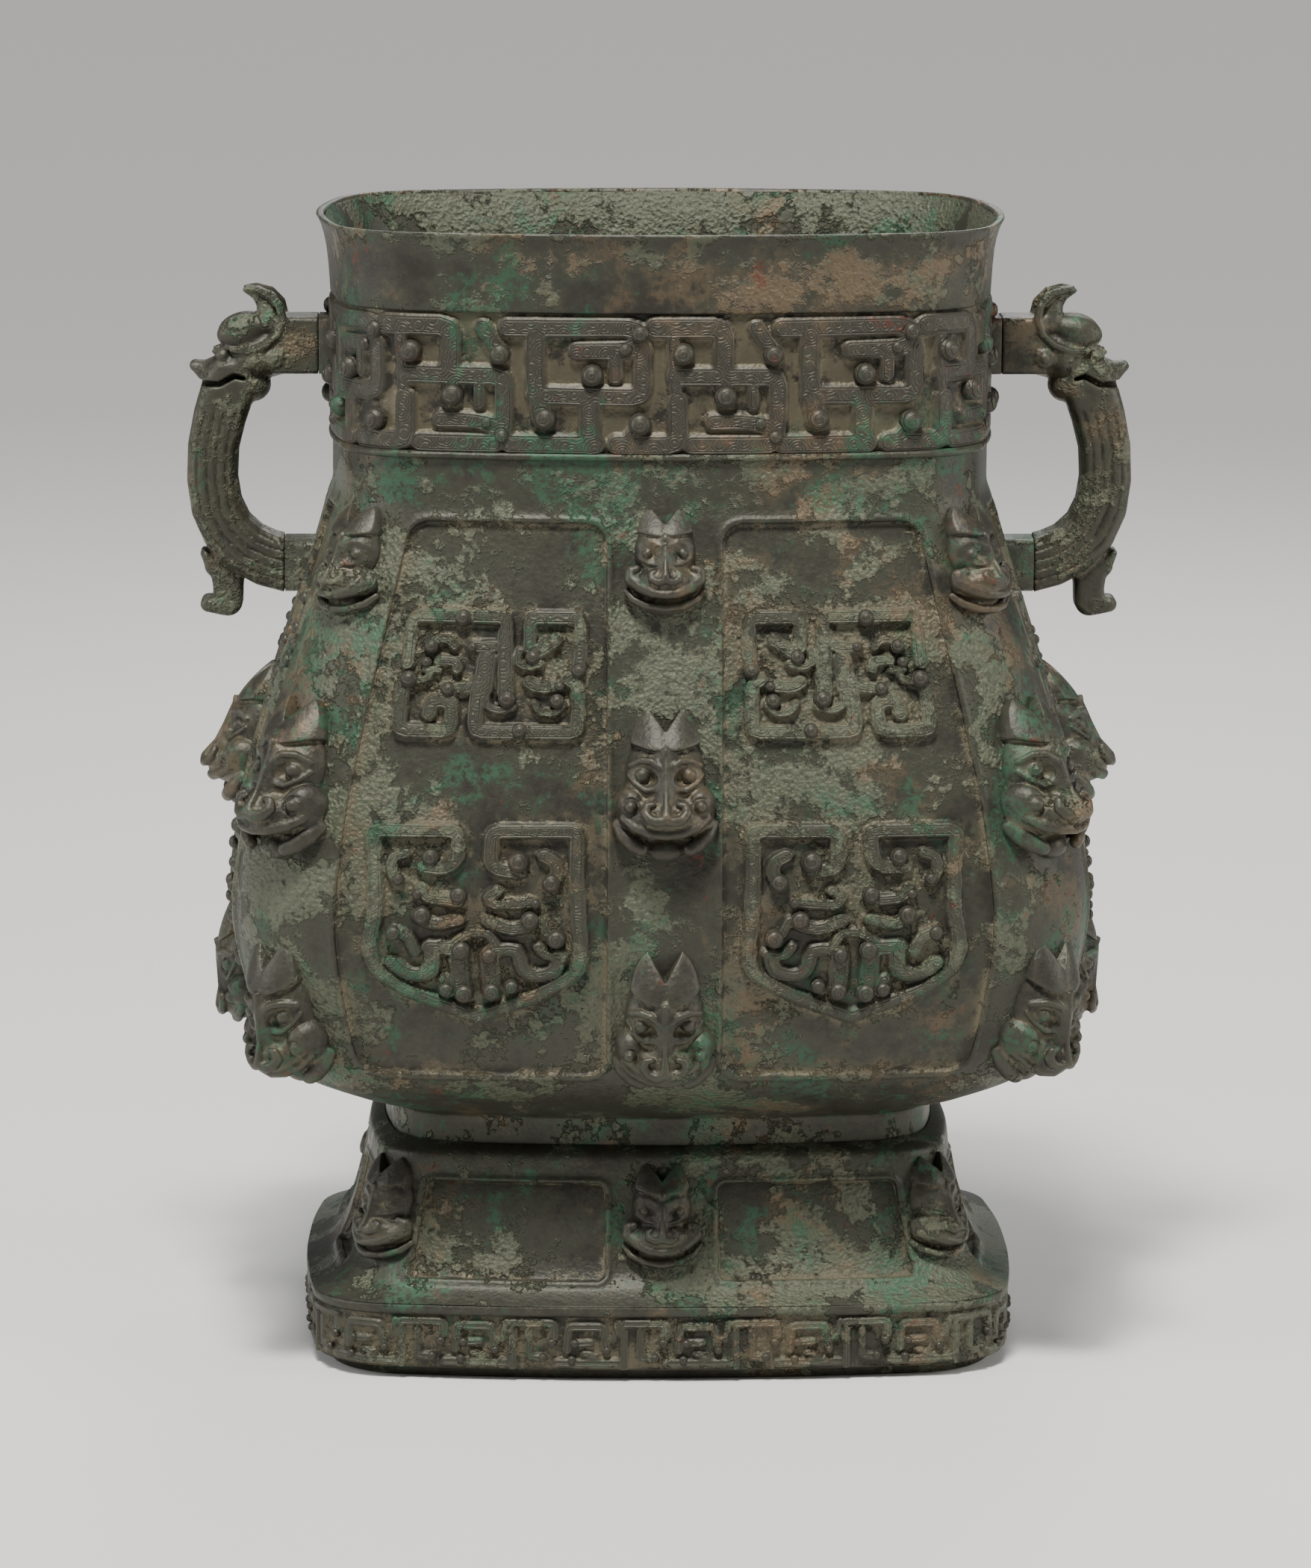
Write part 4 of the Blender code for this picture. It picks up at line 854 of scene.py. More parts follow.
def hanging_tree():
    """Puts a copy of a form at each point, turned by the point's facing and upright, sized, and
    bent to follow the wall across and up."""
    tree = bpy.data.node_groups.new("hang forms on the wall", "GeometryNodeTree")
    face = tree.interface
    face.new_socket("Geometry", in_out="INPUT", socket_type="NodeSocketGeometry")
    face.new_socket("Form", in_out="INPUT", socket_type="NodeSocketObject")
    face.new_socket("Finish", in_out="INPUT", socket_type="NodeSocketMaterial")
    face.new_socket("Size", in_out="INPUT", socket_type="NodeSocketFloat").default_value = 1.0
    face.new_socket("Geometry", in_out="OUTPUT", socket_type="NodeSocketGeometry")
    given = tree.nodes.new("NodeGroupInput").outputs

    def noted(name, kind="FLOAT"):
        node = wired(tree, "GeometryNodeInputNamedAttribute", data_type=kind)
        node.inputs["Name"].default_value = name
        return node.outputs["Attribute"]

    facing, upright = noted("facing", "FLOAT_VECTOR"), noted("upright", "FLOAT_VECTOR")
    turn = wired(tree, "FunctionNodeAxesToRotation", {0: facing, 1: upright}, primary_axis="Z",
                 secondary_axis="Y").outputs[0]
    scale = reckon(tree, "MULTIPLY", noted("size"), given["Size"])
    form = wired(tree, "GeometryNodeObjectInfo", {"Object": given["Form"]}).outputs["Geometry"]
    hung = wired(tree, "GeometryNodeInstanceOnPoints", {"Points": given["Geometry"], "Instance": form,
                 "Rotation": turn, "Scale": scale}).outputs[0]
    real = wired(tree, "GeometryNodeRealizeInstances", {0: hung}).outputs[0]
    falls = []
    for place, bend in (("across", "bend_across"), ("up", "bend_up")):
        square = reckon(tree, "MULTIPLY", noted(place), noted(place))
        falls.append(reckon(tree, "MULTIPLY", reckon(tree, "MULTIPLY", square, noted(bend)), -0.5))
    fall = reckon(tree, "ADD", *falls)
    offset = wired(tree, "ShaderNodeVectorMath", {0: facing, "Scale": fall}, operation="SCALE").outputs[0]
    bent = wired(tree, "GeometryNodeSetPosition", {"Geometry": real, "Offset": offset}).outputs[0]
    done = wired(tree, "GeometryNodeSetMaterial", {"Geometry": bent, "Material": given["Finish"]}).outputs[0]
    tree.links.new(done, tree.nodes.new("NodeGroupOutput").inputs[0])
    return tree


HANGING = hanging_tree()


def made_plain(thing):
    """The plain mesh that an object's modifiers give. The object itself goes."""
    bpy.context.view_layer.update()
    mesh = bpy.data.meshes.new_from_object(thing.evaluated_get(bpy.context.evaluated_depsgraph_get()))
    bpy.data.objects.remove(thing)
    return mesh


def hung(name, form, spots, finish):
    """One plain mesh of a form's copies. A spot is a place, a facing, a size, an upright
    direction and the wall's bend across and up."""
    mesh = bpy.data.meshes.new(name)
    mesh.from_pydata([s[0] for s in spots], [], [])
    _, facing, size, upright, bend_across, bend_up = zip(*spots)
    note(mesh, {"size": size, "bend_across": bend_across, "bend_up": bend_up})
    for key, value in (("facing", facing), ("upright", upright)):
        mesh.attributes.new(key, "FLOAT_VECTOR", "POINT").data.foreach_set("vector", np.ravel(value))
    points = in_scene(name + "_points", mesh)
    maker = points.modifiers.new("hang", "NODES")
    maker.node_group = HANGING
    for socket in HANGING.interface.items_tree:
        if socket.in_out == "INPUT" and socket.name in ("Form", "Finish"):
            maker[socket.identifier] = form if socket.name == "Form" else finish
    result = made_plain(points)
    result.name = name
    bpy.data.objects.remove(form)
    result.shade_smooth()
    return result


def points_of(mesh):
    """The places of a mesh's points, a row for each."""
    places = np.zeros(len(mesh.vertices) * 3)
    mesh.vertices.foreach_get("co", places)
    return places.reshape(-1, 3)


def form_object(mesh):
    """A form as an object that the tree can copy, with its own place noted across and up."""
    across, up, _ = points_of(mesh).T
    note(mesh, {"across": across, "up": up})
    return in_scene(mesh.name, mesh)


angles = np.arange(DOME_SIDES + 1) / DOME_SIDES * 2 * math.pi
dome_points = np.array([[(r * math.cos(a), r * math.sin(a), z) for a in angles] for r, z in DOME])
dome_points = np.concatenate([dome_points, np.tile((0.0, 0.0, 1.0), (1, DOME_SIDES + 1, 1))])
dome = skin("dome", dome_points, {"dome_x": dome_points[..., 0], "dome_y": dome_points[..., 1]})


def spiral_line(tree):
    """A spiral cut into a dome, from each point's place on it."""
    x, y = (wired(tree, "ShaderNodeAttribute", attribute_name=n).outputs["Fac"] for n in ("dome_x", "dome_y"))
    squares = (reckon(tree, "MULTIPLY", way, way) for way in (x, y))
    radius = reckon(tree, "SQRT", reckon(tree, "ADD", *squares))
    angle = reckon(tree, "DIVIDE", reckon(tree, "ARCTAN2", y, x), 2 * math.pi)
    wave = reckon(tree, "FRACT", reckon(tree, "ADD", angle, reckon(tree, "MULTIPLY", radius, SPIRAL_TURNS)))
    line = reckon(tree, "ABSOLUTE", reckon(tree, "SUBTRACT", wave, 0.5))
    return reckon(tree, "MULTIPLY", ramp(tree, line, 0.20, 0.06), -0.00040)


boss_bronze = bronze("boss bronze", crust=0.10, green=0.32, sand=0.3, rise=1.0, cut=spiral_line)
dome_spots = [(place, facing, size, Vector((0, 0, 1)), 0.0, 0.0) for place, facing, size in boss_spots]
bosses_mesh = hung("relief_bosses", form_object(dome), dome_spots, boss_bronze)
placed("relief_bosses", bosses_mesh, boss_bronze, "vessel")

# Beast masks
# Heads of horned beasts on the middle strips and the corners, hollow-cheeked and sharp-eared,
# cast with the wall: small ones under the shoulder and on the foot, large ones on the belly.
# Each form is a field of distances, in millimetres: x across, y up and z out of the wall.
MASK_CELL = 0.55
MASK_BACK = -1.8
SWELL_REACH = 2.2


def spread(low, high, cell):
    """The places of a field's nodes."""
    rows = (np.arange(a, b + cell, cell, dtype=np.float32) for a, b in zip(low, high))
    return np.meshgrid(*rows, indexing="ij")


def ball(at, centre, radii, lean=0.0):
    """An egg, leaned in its x and y by an angle in degrees."""
    x, y, z = (a - c for a, c in zip(at, centre))
    c, s = math.cos(math.radians(lean)), math.sin(math.radians(lean))
    x, y = x * c + y * s, y * c - x * s
    near = np.sqrt((x / radii[0]) ** 2 + (y / radii[1]) ** 2 + (z / radii[2]) ** 2) + 1e-6
    steep = np.sqrt((x / radii[0] ** 2) ** 2 + (y / radii[1] ** 2) ** 2 + (z / radii[2] ** 2) ** 2) + 1e-6
    return near * (near - 1) / steep


def rods(at, *stops):
    """Round rods through a row of stops, each a place with its radius last."""
    nearest = None
    for *a, thick in stops[:1]:
        nearest = np.sqrt(sum((v - c) ** 2 for v, c in zip(at, a))) - thick
    for (*a, first), (*b, last) in zip(stops, stops[1:]):
        run = np.subtract(b, a)
        share = np.clip(sum((v - c) * r for v, c, r in zip(at, a, run)) / (run @ run), 0, 1)
        gap = np.sqrt(sum((v - c - share * r) ** 2 for v, c, r in zip(at, a, run)))
        nearest = np.minimum(nearest, gap - first - (last - first) * share)
    return nearest


def fuse(first, second, soft=1.0):
    """Two forms in one, with a fillet between them."""
    share = np.clip(0.5 + 0.5 * (second - first) / soft, 0, 1)
    return second + (first - second) * share - soft * share * (1 - share)


def carve(form, tool, soft=1.0):
    """A form with a tool's shape cut out."""
    return -fuse(-form, tool, soft)


def shaped(form, *steps):
    """A form after a row of steps, each one an act, the softness of its edge and a tool."""
    for act, soft, tool in steps:
        form = act(form, tool, soft)
    return form


def sampled(field, at):
    """A field's values between its nodes, at places counted in cells."""
    base = np.clip(np.floor(at).astype(int), 0, np.array(field.shape) - 2)
    part = at - base
    total = np.zeros(len(at))
    for corner in np.ndindex(2, 2, 2):
        weight = np.prod(np.abs(1 - np.array(corner) - part), axis=1)
        total += weight * field[tuple((base + corner).T)]
    return total


def netted(field):
    """The closed skin where a field passes zero: its points, in cells, and its quads."""
    shape = np.array(field.shape) - 1
    total, count, rings = np.zeros((*shape, 3)), np.zeros(shape), []
    for axis in range(3):
        u, v = (axis + 1) % 3, (axis + 2) % 3
        near = np.take(field, np.arange(shape[axis]), axis)
        far = np.take(field, np.arange(1, shape[axis] + 1), axis)
        spots = np.argwhere((near < 0) != (far < 0))
        a, b = near[tuple(spots.T)], far[tuple(spots.T)]
        place = spots.astype(float)
        place[:, axis] += a / (a - b)
        ring = []
        for du, dv in ((-1, -1), (0, -1), (0, 0), (-1, 0)):
            cell = spots.copy()
            cell[:, u] += du
            cell[:, v] += dv
            np.add.at(total, tuple(cell.T), place)
            np.add.at(count, tuple(cell.T), 1)
            ring.append(cell)
        ring = np.stack(ring, 1)
        ring[a > 0] = ring[a > 0][:, ::-1]
        rings.append(ring)
    cells = np.ravel_multi_index(np.concatenate(rings).reshape(-1, 3).T, shape)
    used, index = np.unique(cells, return_inverse=True)
    return total.reshape(-1, 3)[used] / count.ravel()[used, None], index.reshape(-1, 4)


def cast_form(name, field, low, cell, keep):
    """A form's skin as a mesh in metres, thinned to a share of its faces, with what stands proud (for wear)
    and what lies in a hollow (for painted shade and dirt) noted on its points."""
    points, quads = netted(field)
    grad = np.stack(np.gradient(field), -1)
    for _ in range(2):
        slope = np.stack([sampled(grad[..., i], points) for i in range(3)], -1)
        step = sampled(field, points) / np.maximum((slope ** 2).sum(1), 0.05)
        points -= np.clip(step[:, None] * slope, -0.5, 0.5)
    thing = in_scene(name, solid_skin(name, (points * cell + low) * MM, quads, {}))
    thing.modifiers.new("thin", "DECIMATE").ratio = keep
    mesh = made_plain(thing)
    at = (points_of(mesh) / MM - low) / cell
    ways = np.vstack([np.eye(3), -np.eye(3)]) * SWELL_REACH / cell
    around = sum(sampled(field, at + way) for way in ways) / 6
    swell = (around - sampled(field, at)) / SWELL_REACH
    # Painted shade and dirt in the form's hollows, and wear on what swells out.
    note(mesh, {"rise": np.clip(0.45 + 2.2 * swell, 0, 1), "grime": np.clip(0.10 - 3.0 * swell, 0, 1)})
    return mesh


def pointed_ears(here, apex, notch, outer, foot, high, low):
    """A pair of upright, bladed ears: a leaf with a straight inner edge, and its back falling
    from high at the notch to low at the tip."""
    x, y, z = here
    run = np.subtract(apex, (0.0, notch))
    inner = ((y - notch) * run[0] - x * run[1]) / np.linalg.norm(run)
    middle = (outer * 0.13, foot + 1.0)
    leaf = ball((x, y, z * 0), (*middle, 0.0), (outer - middle[0], (apex[1] - middle[1]) * 1.085, 99.0))
    base = foot - 0.7 + 0.020 * x ** 2 - y
    fall = np.maximum(y - foot, 0) / (apex[1] - foot)
    top = z - (high - (high - low) * fall ** 1.3 - 0.035 * (x - 3.0) ** 2)
    return np.maximum(np.maximum(np.maximum(inner, leaf), base), top * 0.85)


def large_mask():
    """The large mask: a long snout with curled nostrils between two cheeks."""
    low, high = (-24.5, -35.5, -3.0), (24.5, 34.0, 22.0)
    at = spread(low, high, MASK_CELL)
    here = (np.abs(at[0]), at[1], at[2])
    head = fuse(ball(here, (0, 1, 0), (16.8, 20.0, 12.2)), ball(here, (8.6, 4.5, 0), (8.2, 14.0, 7.8)), 2.0)
    muzzle = fuse(ball(here, (0, -15, 2.5), (20.5, 10.0, 12.0)), ball(here, (0, -17, 8), (12.5, 8, 10.2)), 4)
    cheek = ball(here, (14.4, -10.0, 2.5), (7.0, 8.6, 9.8), -12)
    bridge = rods(here, (0, 9, 8.6, 4.2), (0, -7, 11.4, 3.6))
    form = fuse(fuse(head, fuse(muzzle, cheek, 1.6), 1.0), bridge, 3.0)

    eye_pit = ball(here, (10.2, 2.2, 12.4), (7.0, 4.1, 6.0), 24)
    brow = rods(here, (2.6, 5.4, 12.2, 1.2), (6.0, 8.2, 11.6, 1.5), (10.4, 8.8, 9.4, 1.5),
                (15.0, 7.0, 5.6, 1.2))
    lower_lid = rods(here, (3.6, -4.0, 11.6, 0.9), (8.6, -4.2, 10.4, 1.1), (13.2, -0.8, 8.2, 1.0),
                     (15.8, 3.2, 5.2, 0.9))
    eye = ball(here, (9.9, 2.6, 7.6), (3.4, 3.4, 3.6))
    eye_corner = rods(here, (4.6, 0.0, 11.4, 0.6), (6.6, 0.4, 10.8, 0.9))
    nose_line = rods(here, (0, 10.0, 12.2, 0.9), (0, 1.0, 13.8, 0.8), (0, -8.0, 15.8, 1.0),
                     (0, -15.8, 18.8, 2.2))
    brow_bead = ball(here, (0, 12.6, 11.6), (1.8, 3.4, 2.0))
    form = shaped(form, (carve, 0.7, eye_pit), (fuse, 1.1, brow), (fuse, 0.9, lower_lid), (fuse, 0.2, eye),
                  (carve, 0.4, eye_corner), (fuse, 1.3, nose_line), (fuse, 0.5, brow_bead))

    nostril = rods(here, (5.2, -14.0, 17.6, 1.2), (5.4, -13.6, 15.0, 0.9))
    nostril_wing = rods(here, (0.0, -17.2, 19.0, 2.3), (3.4, -18.2, 18.8, 2.3), (6.8, -17.2, 17.6, 2.2),
                        (8.9, -14.2, 16.4, 2.0), (8.0, -11.2, 15.8, 1.8), (5.6, -10.6, 15.8, 1.4))
    nostril_bead = ball(here, (5.0, -13.6, 15.2), (1.3, 1.3, 1.3))
    ring = np.abs(np.hypot(here[0] - 15.0, here[1] + 11.2) - 3.5) - 0.35
    cheek_boss = ball(here, (15.0, -11.2, 11.4), (2.6, 2.6, 2.6))
    form = shaped(form, (carve, 0.6, nostril), (fuse, 0.7, nostril_wing), (fuse, 0.3, nostril_bead),
                  (carve, 0.6, np.maximum(ring, 10.9 - here[2])), (fuse, 0.2, cheek_boss))

    mouth = rods(here, (0, -20.9, 18.4, 1.1), (7, -20.2, 17.0, 1.1), (13, -18.0, 14.0, 1.0),
                 (18.5, -14.4, 9.6, 0.8))
    chin_hollow = ball(here, (0, -29.0, 6.0), (17.0, 6.2, 12.5))
    lip = rods(here, (0, -23.6, 15.0, 2.0), (7, -22.6, 14.0, 2.1), (13.5, -19.8, 11.2, 2.1),
               (18.0, -15.8, 8.2, 1.6))
    jaw_curl = rods(here, (20.0, -17.8, 1.2, 2.7), (17.8, -22.4, 3.6, 3.3), (13.8, -26.6, 5.4, 3.4),
                    (10.4, -28.8, 6.2, 2.9))
    chin = ball(here, (0, -29.0, 2.0), (7.5, 4.6, 4.0))
    root = ball(here, (0, -23, 0.0), (15.0, 9.0, 3.6))
    form = shaped(form, (carve, 0.6, mouth), (carve, 0.8, chin_hollow), (fuse, 1.0, lip),
                  (fuse, 0.8, jaw_curl), (fuse, 2.0, chin), (fuse, 1.5, root))
    form = np.maximum(form, here[1] - 13.8 - 0.020 * here[0] ** 2)
    form = fuse(form, pointed_ears(here, (7.6, 32.5), 21.0, 15.0, 13.0, 11.6, 2.6), 0.35)
    return cast_form("large mask", np.maximum(form, MASK_BACK - at[2]), low, MASK_CELL, 0.18)


def small_mask():
    """The small mask: a short snout over a broad mouth, and a lozenge on its brow."""
    low, high = (-19.0, -24.5, -3.0), (19.0, 25.0, 15.5)
    at = spread(low, high, MASK_CELL)
    here = (np.abs(at[0]), at[1], at[2])
    head = fuse(ball(here, (0, 3, 0), (12.0, 13.5, 9.2)), ball(here, (6.8, 4.0, 0), (6.0, 10.5, 7.4)), 2.4)
    muzzle = ball(here, (0, -10, 2.0), (16.0, 6.6, 8.4))
    muzzle = fuse(muzzle, ball(here, (0, -10.5, 4.5), (9.5, 6.2, 7.6)), 3)
    bridge = rods(here, (0, 6, 6.6, 2.8), (0, -5, 8.2, 2.6))
    form = fuse(fuse(head, muzzle, 2.2), bridge, 2.2)

    eye_pit = ball(here, (7.8, 1.7, 10.4), (5.6, 2.9, 4.2), 25)
    brow = rods(here, (2.0, 4.6, 9.0, 0.8), (5.2, 6.6, 7.8, 1.1), (8.6, 6.8, 6.0, 1.1), (11.4, 5.4, 3.6, 0.9))
    lower_lid = rods(here, (3.2, -3.4, 8.8, 0.6), (7.0, -2.6, 7.4, 0.7), (11.0, 0.4, 4.4, 0.7))
    eye = ball(here, (7.6, 1.9, 6.6), (2.2, 2.2, 2.1))
    nose_line = rods(here, (0, 5.0, 9.4, 0.7), (0, -2.0, 10.6, 0.7), (0, -8.8, 12.8, 1.5))
    lozenge_groove = rods(here, (3.0, 7.8, 9.4, 0.5), (0, 11.2, 8.4, 0.5))
    lozenge = ball(here, (0, 8.0, 8.6), (1.8, 2.4, 1.8))
    lozenge_frame = rods(here, (3.8, 8.0, 7.8, 0.55), (0, 12.2, 7.2, 0.6))
    form = shaped(form, (carve, 0.6, eye_pit), (fuse, 1.1, brow), (fuse, 0.8, lower_lid), (fuse, 0.2, eye),
                  (fuse, 1.0, nose_line), (carve, 0.3, lozenge_groove), (fuse, 0.3, lozenge),
                  (fuse, 0.3, lozenge_frame))

    nostril_wing = rods(here, (0, -10.4, 12.4, 1.5), (3.2, -11.2, 11.8, 1.6), (5.8, -9.8, 10.8, 1.5),
                        (6.2, -7.4, 10.2, 1.2), (4.6, -6.4, 10.2, 0.9))
    mouth = rods(here, (0, -14.0, 12.8, 0.6), (4.5, -13.6, 12.0, 0.6), (8.5, -12.2, 9.8, 0.5))
    lip = rods(here, (0, -16.2, 9.8, 1.9), (5.5, -15.4, 9.0, 2.1), (10.5, -12.8, 7.0, 2.3),
               (14.6, -8.8, 4.6, 2.9), (14.4, -5.6, 4.4, 2.7), (12.2, -4.6, 5.4, 1.8))
    chin_line = rods(here, (0, -19.8, 9.0, 1.2), (7, -18.6, 8.0, 1.2), (12.5, -15.6, 5.6, 1.1),
                     (17.0, -11.5, 3.0, 0.9))
    jaw = rods(here, (0, -21.6, 5.8, 1.7), (7.5, -20.4, 4.9, 1.7), (13.5, -17.4, 3.2, 1.6),
               (16.6, -13.2, 1.6, 1.3))
    root = ball(here, (0, -18.0, 0.0), (12.0, 5.5, 3.4))
    form = shaped(form, (fuse, 0.6, nostril_wing), (carve, 0.5, mouth), (fuse, 1.0, lip),
                  (carve, 0.8, chin_line), (fuse, 0.6, jaw), (fuse, 1.2, root))
    form = np.maximum(form, here[1] - 12.0 - 0.020 * here[0] ** 2)
    form = fuse(form, pointed_ears(here, (6.6, 23.4), 14.4, 11.8, 9.4, 9.2, 1.9), 0.3)
    return cast_form("small mask", np.maximum(form, MASK_BACK - at[2]), low, MASK_CELL, 0.23)


def mask_spot(knots, side, z, corner, bend_up, size=1.0):
    """Where a mask hangs, on a side's middle strip or on the corner after it."""
    row, above, below = (eased(knots, np.array([z + step])) for step in (0.0, 0.02, -0.02))
    slope = math.atan2(float(below[0, 0] - above[0, 0]), 0.04)
    u = np.array([3.0 if corner else 0.0])
    along, out, lean, square = (float(v[0, 0]) for v in side_grid(row, side, u))
    facing = Vector((*turned(side, lean, square), 0.0)) * math.cos(slope)
    facing.z = math.sin(slope)
    bend = 1 / (row[0, 2] + 0.006) if corner else 1 / float(side_arc(row, side)[4][0, 0])
    return Vector((*turned(side, along, out), z)), facing, size, Vector((0, 0, 1)), bend, bend_up


MASK_ROWS = (
    ("masks_shoulder", small_mask, BODY, 0.361, (0, 2), 1 / 0.34, 1.05, 0.003),
    ("masks_middle", large_mask, BODY, 0.268, (0, 1, 2, 3), 1 / 0.34, 1.07, 0.001),
    ("masks_belly", large_mask, BODY, 0.164, (0, 1, 2, 3), 1 / 0.096, 1.02, 0.0),
    ("masks_foot", small_mask, FOOT, 0.070, (0, 2), -1 / 0.40, 1.0, 0.0),
)
mask_bronze = bronze("mask bronze", crust=0.30, green=0.38, sand=0.6, relief=True)
mask_forms = {small_mask: small_mask(), large_mask: large_mask()}
for name, form, knots, z, sides, bend, corner_size, lower in MASK_ROWS:
    spots = [mask_spot(knots, side, z, False, bend) for side in sides]
    spots += [mask_spot(knots, side, z - lower, True, bend, corner_size) for side in range(4)]
    masks_mesh = hung(name, form_object(mask_forms[form].copy()), spots, mask_bronze)
    placed(name, masks_mesh, mask_bronze, "vessel")

# Handles
# Two dragons cast apart and fixed to stubs on the neck and the shoulder: a square root, a head
# with cupped ears and an open mouth, a grooved body bent down and in, and a clawed tail.
# The numbers of its field are millimetres: x outwards, y across and z up.
HANDLE_CELL = 0.75
HANDLE_HALF = 12.4
ROOT_GAP = 0.3
UPPER_FACE, UPPER_ROOT_Z = 150.0, 441.6
LOWER_FACE, LOWER_ROOT_Z = 165.5, 344.0
STRAP = (
    (189.0, 425.0, 12.0), (193.8, 410.0, 11.6), (196.8, 396.5, 11.2), (197.4, 382.0, 11.1),
    (195.6, 369.5, 11.2), (190.6, 358.6, 11.4), (182.0, 350.4, 11.6), (173.5, 346.2, 12.0),
    (163.0, 343.4, 12.0),
)


def slab(flat, across, half, soft):
    """A flat outline given thickness, with rounded edges."""
    a, b = flat + soft, np.abs(across) - half + soft
    return np.hypot(np.maximum(a, 0), np.maximum(b, 0)) + np.minimum(np.maximum(a, b), 0) - soft


def strap_of(x, y, z):
    """The handle's body: a strap along its stops, with grooves round it that fade at the head."""
    reach = np.full(x.shape, 99.0, dtype=np.float32)
    across = reach.copy()
    for (ax, az, a), (bx, bz, b) in zip(STRAP, STRAP[1:]):
        run = np.array((bx - ax, bz - az))
        share = np.clip(((x - ax) * run[0] + (z - az) * run[1]) / (run @ run), 0, 1)
        dx, dz = x - ax - share * run[0], z - az - share * run[1]
        away = np.hypot(dx, dz)
        gap = away - (a + (b - a) * share)
        nearer = gap < reach
        reach = np.where(nearer, gap, reach)
        across = np.where(nearer, np.sign(dx * run[1] - dz * run[0]) * away, across)
    on_side = np.abs(y) / HANDLE_HALF > np.abs(across) / 11.5
    pitch = np.where(on_side, across, y) / 4.2
    groove = np.abs(pitch - np.round(pitch - 0.5) - 0.5)
    fade = soft_step((416.0 - z) / 5.0)
    return slab(reach, y, HANDLE_HALF, 6.0) + 0.85 * fade * soft_step(1 - groove / 0.24)


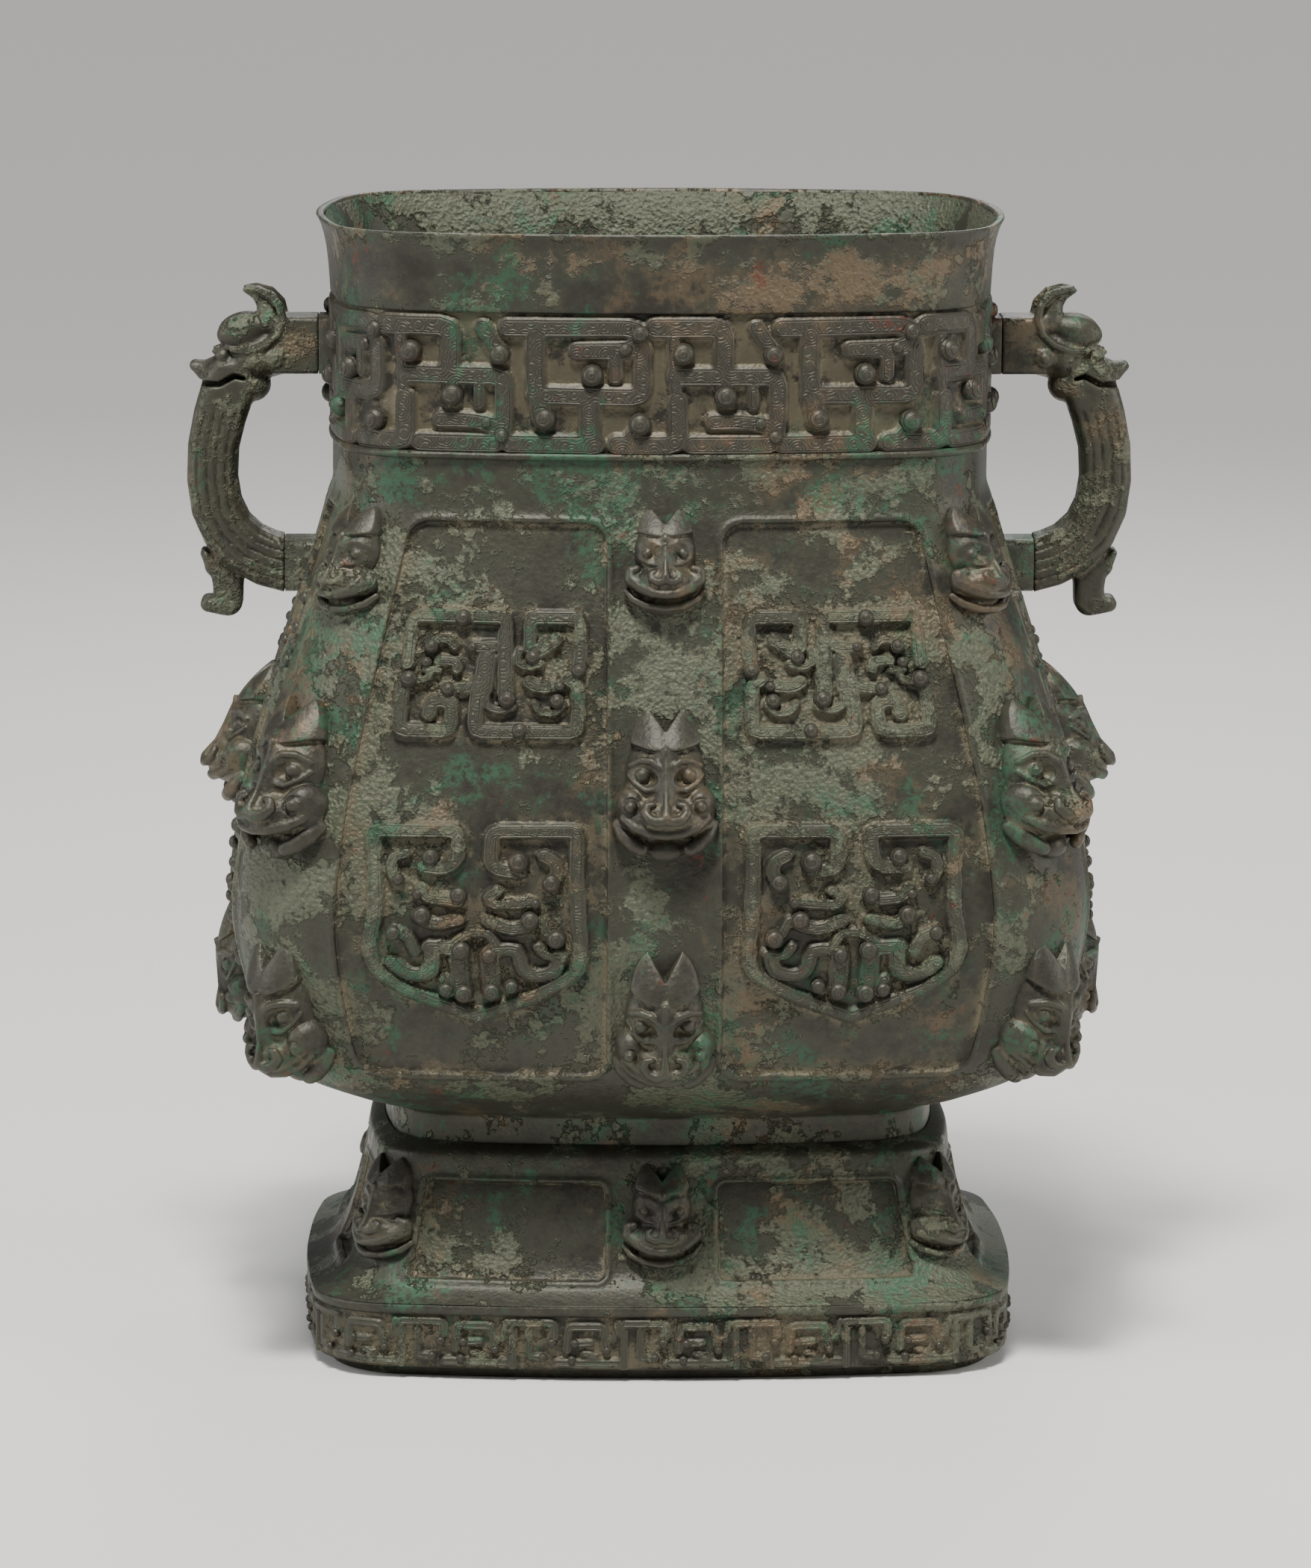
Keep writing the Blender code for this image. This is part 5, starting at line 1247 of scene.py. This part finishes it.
def dragon_handle():
    """The right handle, from its roots to the tip of its ear and the claw of its tail."""
    low, high = (149.0, -15.5, 317.0), (211.0, 15.5, 469.0)
    x, y, z = spread(low, high, HANDLE_CELL)
    side = np.abs(y)
    here, flat, narrow = (x, side, z), (x, z), (x, side * 0.62, z)

    root = slab(np.maximum(np.abs(x - 155.5) - 15.2, np.abs(z - UPPER_ROOT_Z) - 12.6), y, HANDLE_HALF, 2.6)
    root = root + 0.45 * soft_step(1 - np.abs(z - 444.0) / 0.6) * (x < 166)
    skull = ball(here, (176.5, 0, 438.5), (17.5, 12.2, 12.5))
    snout = rods(narrow, (178.0, 0, 435.0, 8.5), (190.0, 0, 432.0, 6.2), (199.0, 0, 429.6, 4.6),
                 (204.3, 0, 431.6, 2.9))
    jaw = rods(narrow, (179.0, 0, 423.5, 7.6), (188.0, 0, 420.5, 7.0), (196.8, 0, 419.6, 4.6))
    form = shaped(root, (fuse, 3.0, skull), (fuse, 2.0, snout), (fuse, 1.6, jaw),
                  (fuse, 1.2, strap_of(x, y, z)))

    mouth = rods(flat, (183.0, 427.2, 1.0), (187.0, 428.2, 1.2), (193.5, 424.6, 1.1), (203.0, 424.6, 1.6))
    lip = rods(here, (181.6, 11.6, 428.6, 0.9), (187.0, 10.4, 430.6, 1.0), (194.0, 8.4, 426.8, 1.0),
               (202.0, 5.6, 427.0, 1.0), (206.0, 3.6, 432.0, 1.2))
    nostril = rods(here, (199.4, 9.4, 431.0, 0.5), (197.6, 9.4, 432.4, 0.5), (195.8, 9.8, 431.0, 0.5),
                   (196.6, 9.8, 429.0, 0.5), (199.4, 9.0, 428.6, 0.5))
    eye = ball(here, (192.4, 7.6, 437.0), (3.4, 3.6, 2.8))
    brow = rods(here, (183.0, 10.6, 439.0, 1.1), (189.5, 9.2, 440.6, 1.3), (196.0, 6.6, 438.6, 1.1))
    under_eye = rods(here, (188.0, 11.4, 435.4, 0.6), (192.5, 11.0, 433.8, 0.6), (196.5, 9.6, 434.6, 0.6))
    form = shaped(form, (carve, 0.8, np.maximum(mouth, 3.2 - side)), (fuse, 0.7, lip), (carve, 0.4, nostril),
                  (fuse, 0.4, eye), (fuse, 0.8, brow), (carve, 0.5, under_eye))

    ear_cup = ball((x, z, side), (183.6, 447.4, 5.6), (11.4, 7.4, 6.8), -14)
    ear_back = rods(here, (171.0, 5.0, 452.0, 6.4), (172.6, 4.8, 459.4, 4.8), (177.0, 4.6, 463.6, 2.8),
                    (182.4, 4.6, 465.4, 1.1))
    ear_rim = rods(here, (182.6, 6.0, 465.8, 0.9), (177.6, 7.6, 466.0, 1.5), (171.6, 9.4, 464.0, 1.8),
                   (167.0, 10.8, 459.0, 1.9), (165.6, 11.6, 453.0, 1.9), (168.0, 12.2, 446.6, 1.8),
                   (173.6, 12.4, 441.8, 1.7), (181.0, 12.2, 439.2, 1.5), (188.0, 10.6, 439.4, 1.2))
    ear_hollow = rods(here, (178.6, 12.4, 461.0, 3.2), (174.8, 14.4, 457.0, 4.2), (172.6, 15.4, 451.4, 3.6),
                      (176.0, 15.6, 446.6, 2.0))
    disc = ball(here, (169.0, 11.4, 436.4), (4.8, 3.2, 4.8))
    disc_ring = np.hypot(np.hypot(x - 169.0, z - 436.4) - 2.5, side - 14.2) - 0.55
    form = shaped(form, (fuse, 0.6, fuse(ear_cup, ear_back, 2.0)), (fuse, 0.7, ear_rim),
                  (carve, 1.2, ear_hollow), (fuse, 0.3, disc), (carve, 0.3, disc_ring))

    tail = np.minimum(rods(flat, (191.0, 345.0, 8.2), (190.8, 333.5, 6.6), (191.0, 327.4, 6.6)),
                      rods(flat, (192.5, 325.2, 4.2), (199.6, 326.0, 3.5)))
    spur = rods(flat, (196.5, 343.0, 4.6), (201.2, 348.8, 1.8))
    tail = slab(fuse(tail, spur, 1.5), y, 8.2, 3.0)
    tail = tail + 0.4 * soft_step(1 - np.abs(np.hypot(x - 193.0, z - 326.4) - 3.2) / 0.6)
    form = fuse(form, tail, 1.0)
    face = np.where(z > 400.0, UPPER_FACE, LOWER_FACE) + ROOT_GAP
    return cast_form("handle", np.maximum(form, face - x), low, HANDLE_CELL, 0.36)


handle_bronze = bronze("handle bronze", crust=0.50, green=0.42, sand=0.55, relief=True)
right_handle = dragon_handle()
left_handle = right_handle.copy()
left_handle.transform(Matrix.Scale(-1, 4, (1, 0, 0)))
left_handle.flip_normals()
placed("handle_right_dragon", right_handle, handle_bronze, "handle_right", "handle_right")
placed("handle_left_dragon", left_handle, handle_bronze, "handle_left", "handle_left")

# Stubs
# Four blocks with round edges, cast with the wall. Each reaches from inside the wall to the face
# that a handle's root is fixed to; the joint shows as a thin line.
STUBS = ((UPPER_FACE, 141.0, UPPER_ROOT_Z, 12.6, 2.6), (LOWER_FACE, 150.0, LOWER_ROOT_Z, 11.9, 6.0))


def stub_skin(hand, face, near, middle, half_tall, soft):
    """One stub's skin, in millimetres until it is a mesh."""
    turn = np.arange(25) / 24 * 2 * math.pi
    across, up = np.cos(turn), np.sin(turn)
    y = np.sign(across) * (HANDLE_HALF - soft) + soft * across
    z = np.sign(up.round(6)) * (half_tall - soft) + soft * up
    rows = ((near, 1.0), (face - 0.2, 1.0), (face, 0.985), (face, 0.0))
    return skin("stub", np.array([np.column_stack([0 * y + hand * x, y * share, middle + z * share])
                                  for x, share in rows]) * MM, {})


joined = bmesh.new()
for hand in (1, -1):
    for stub in STUBS:
        joined.from_mesh(stub_skin(hand, *stub))
bmesh.ops.recalc_face_normals(joined, faces=joined.faces)
stubs = bpy.data.meshes.new("handle_stubs")
joined.to_mesh(stubs)
joined.free()
stubs.shade_smooth()
placed("handle_stubs", stubs, plain_bronze, "vessel")
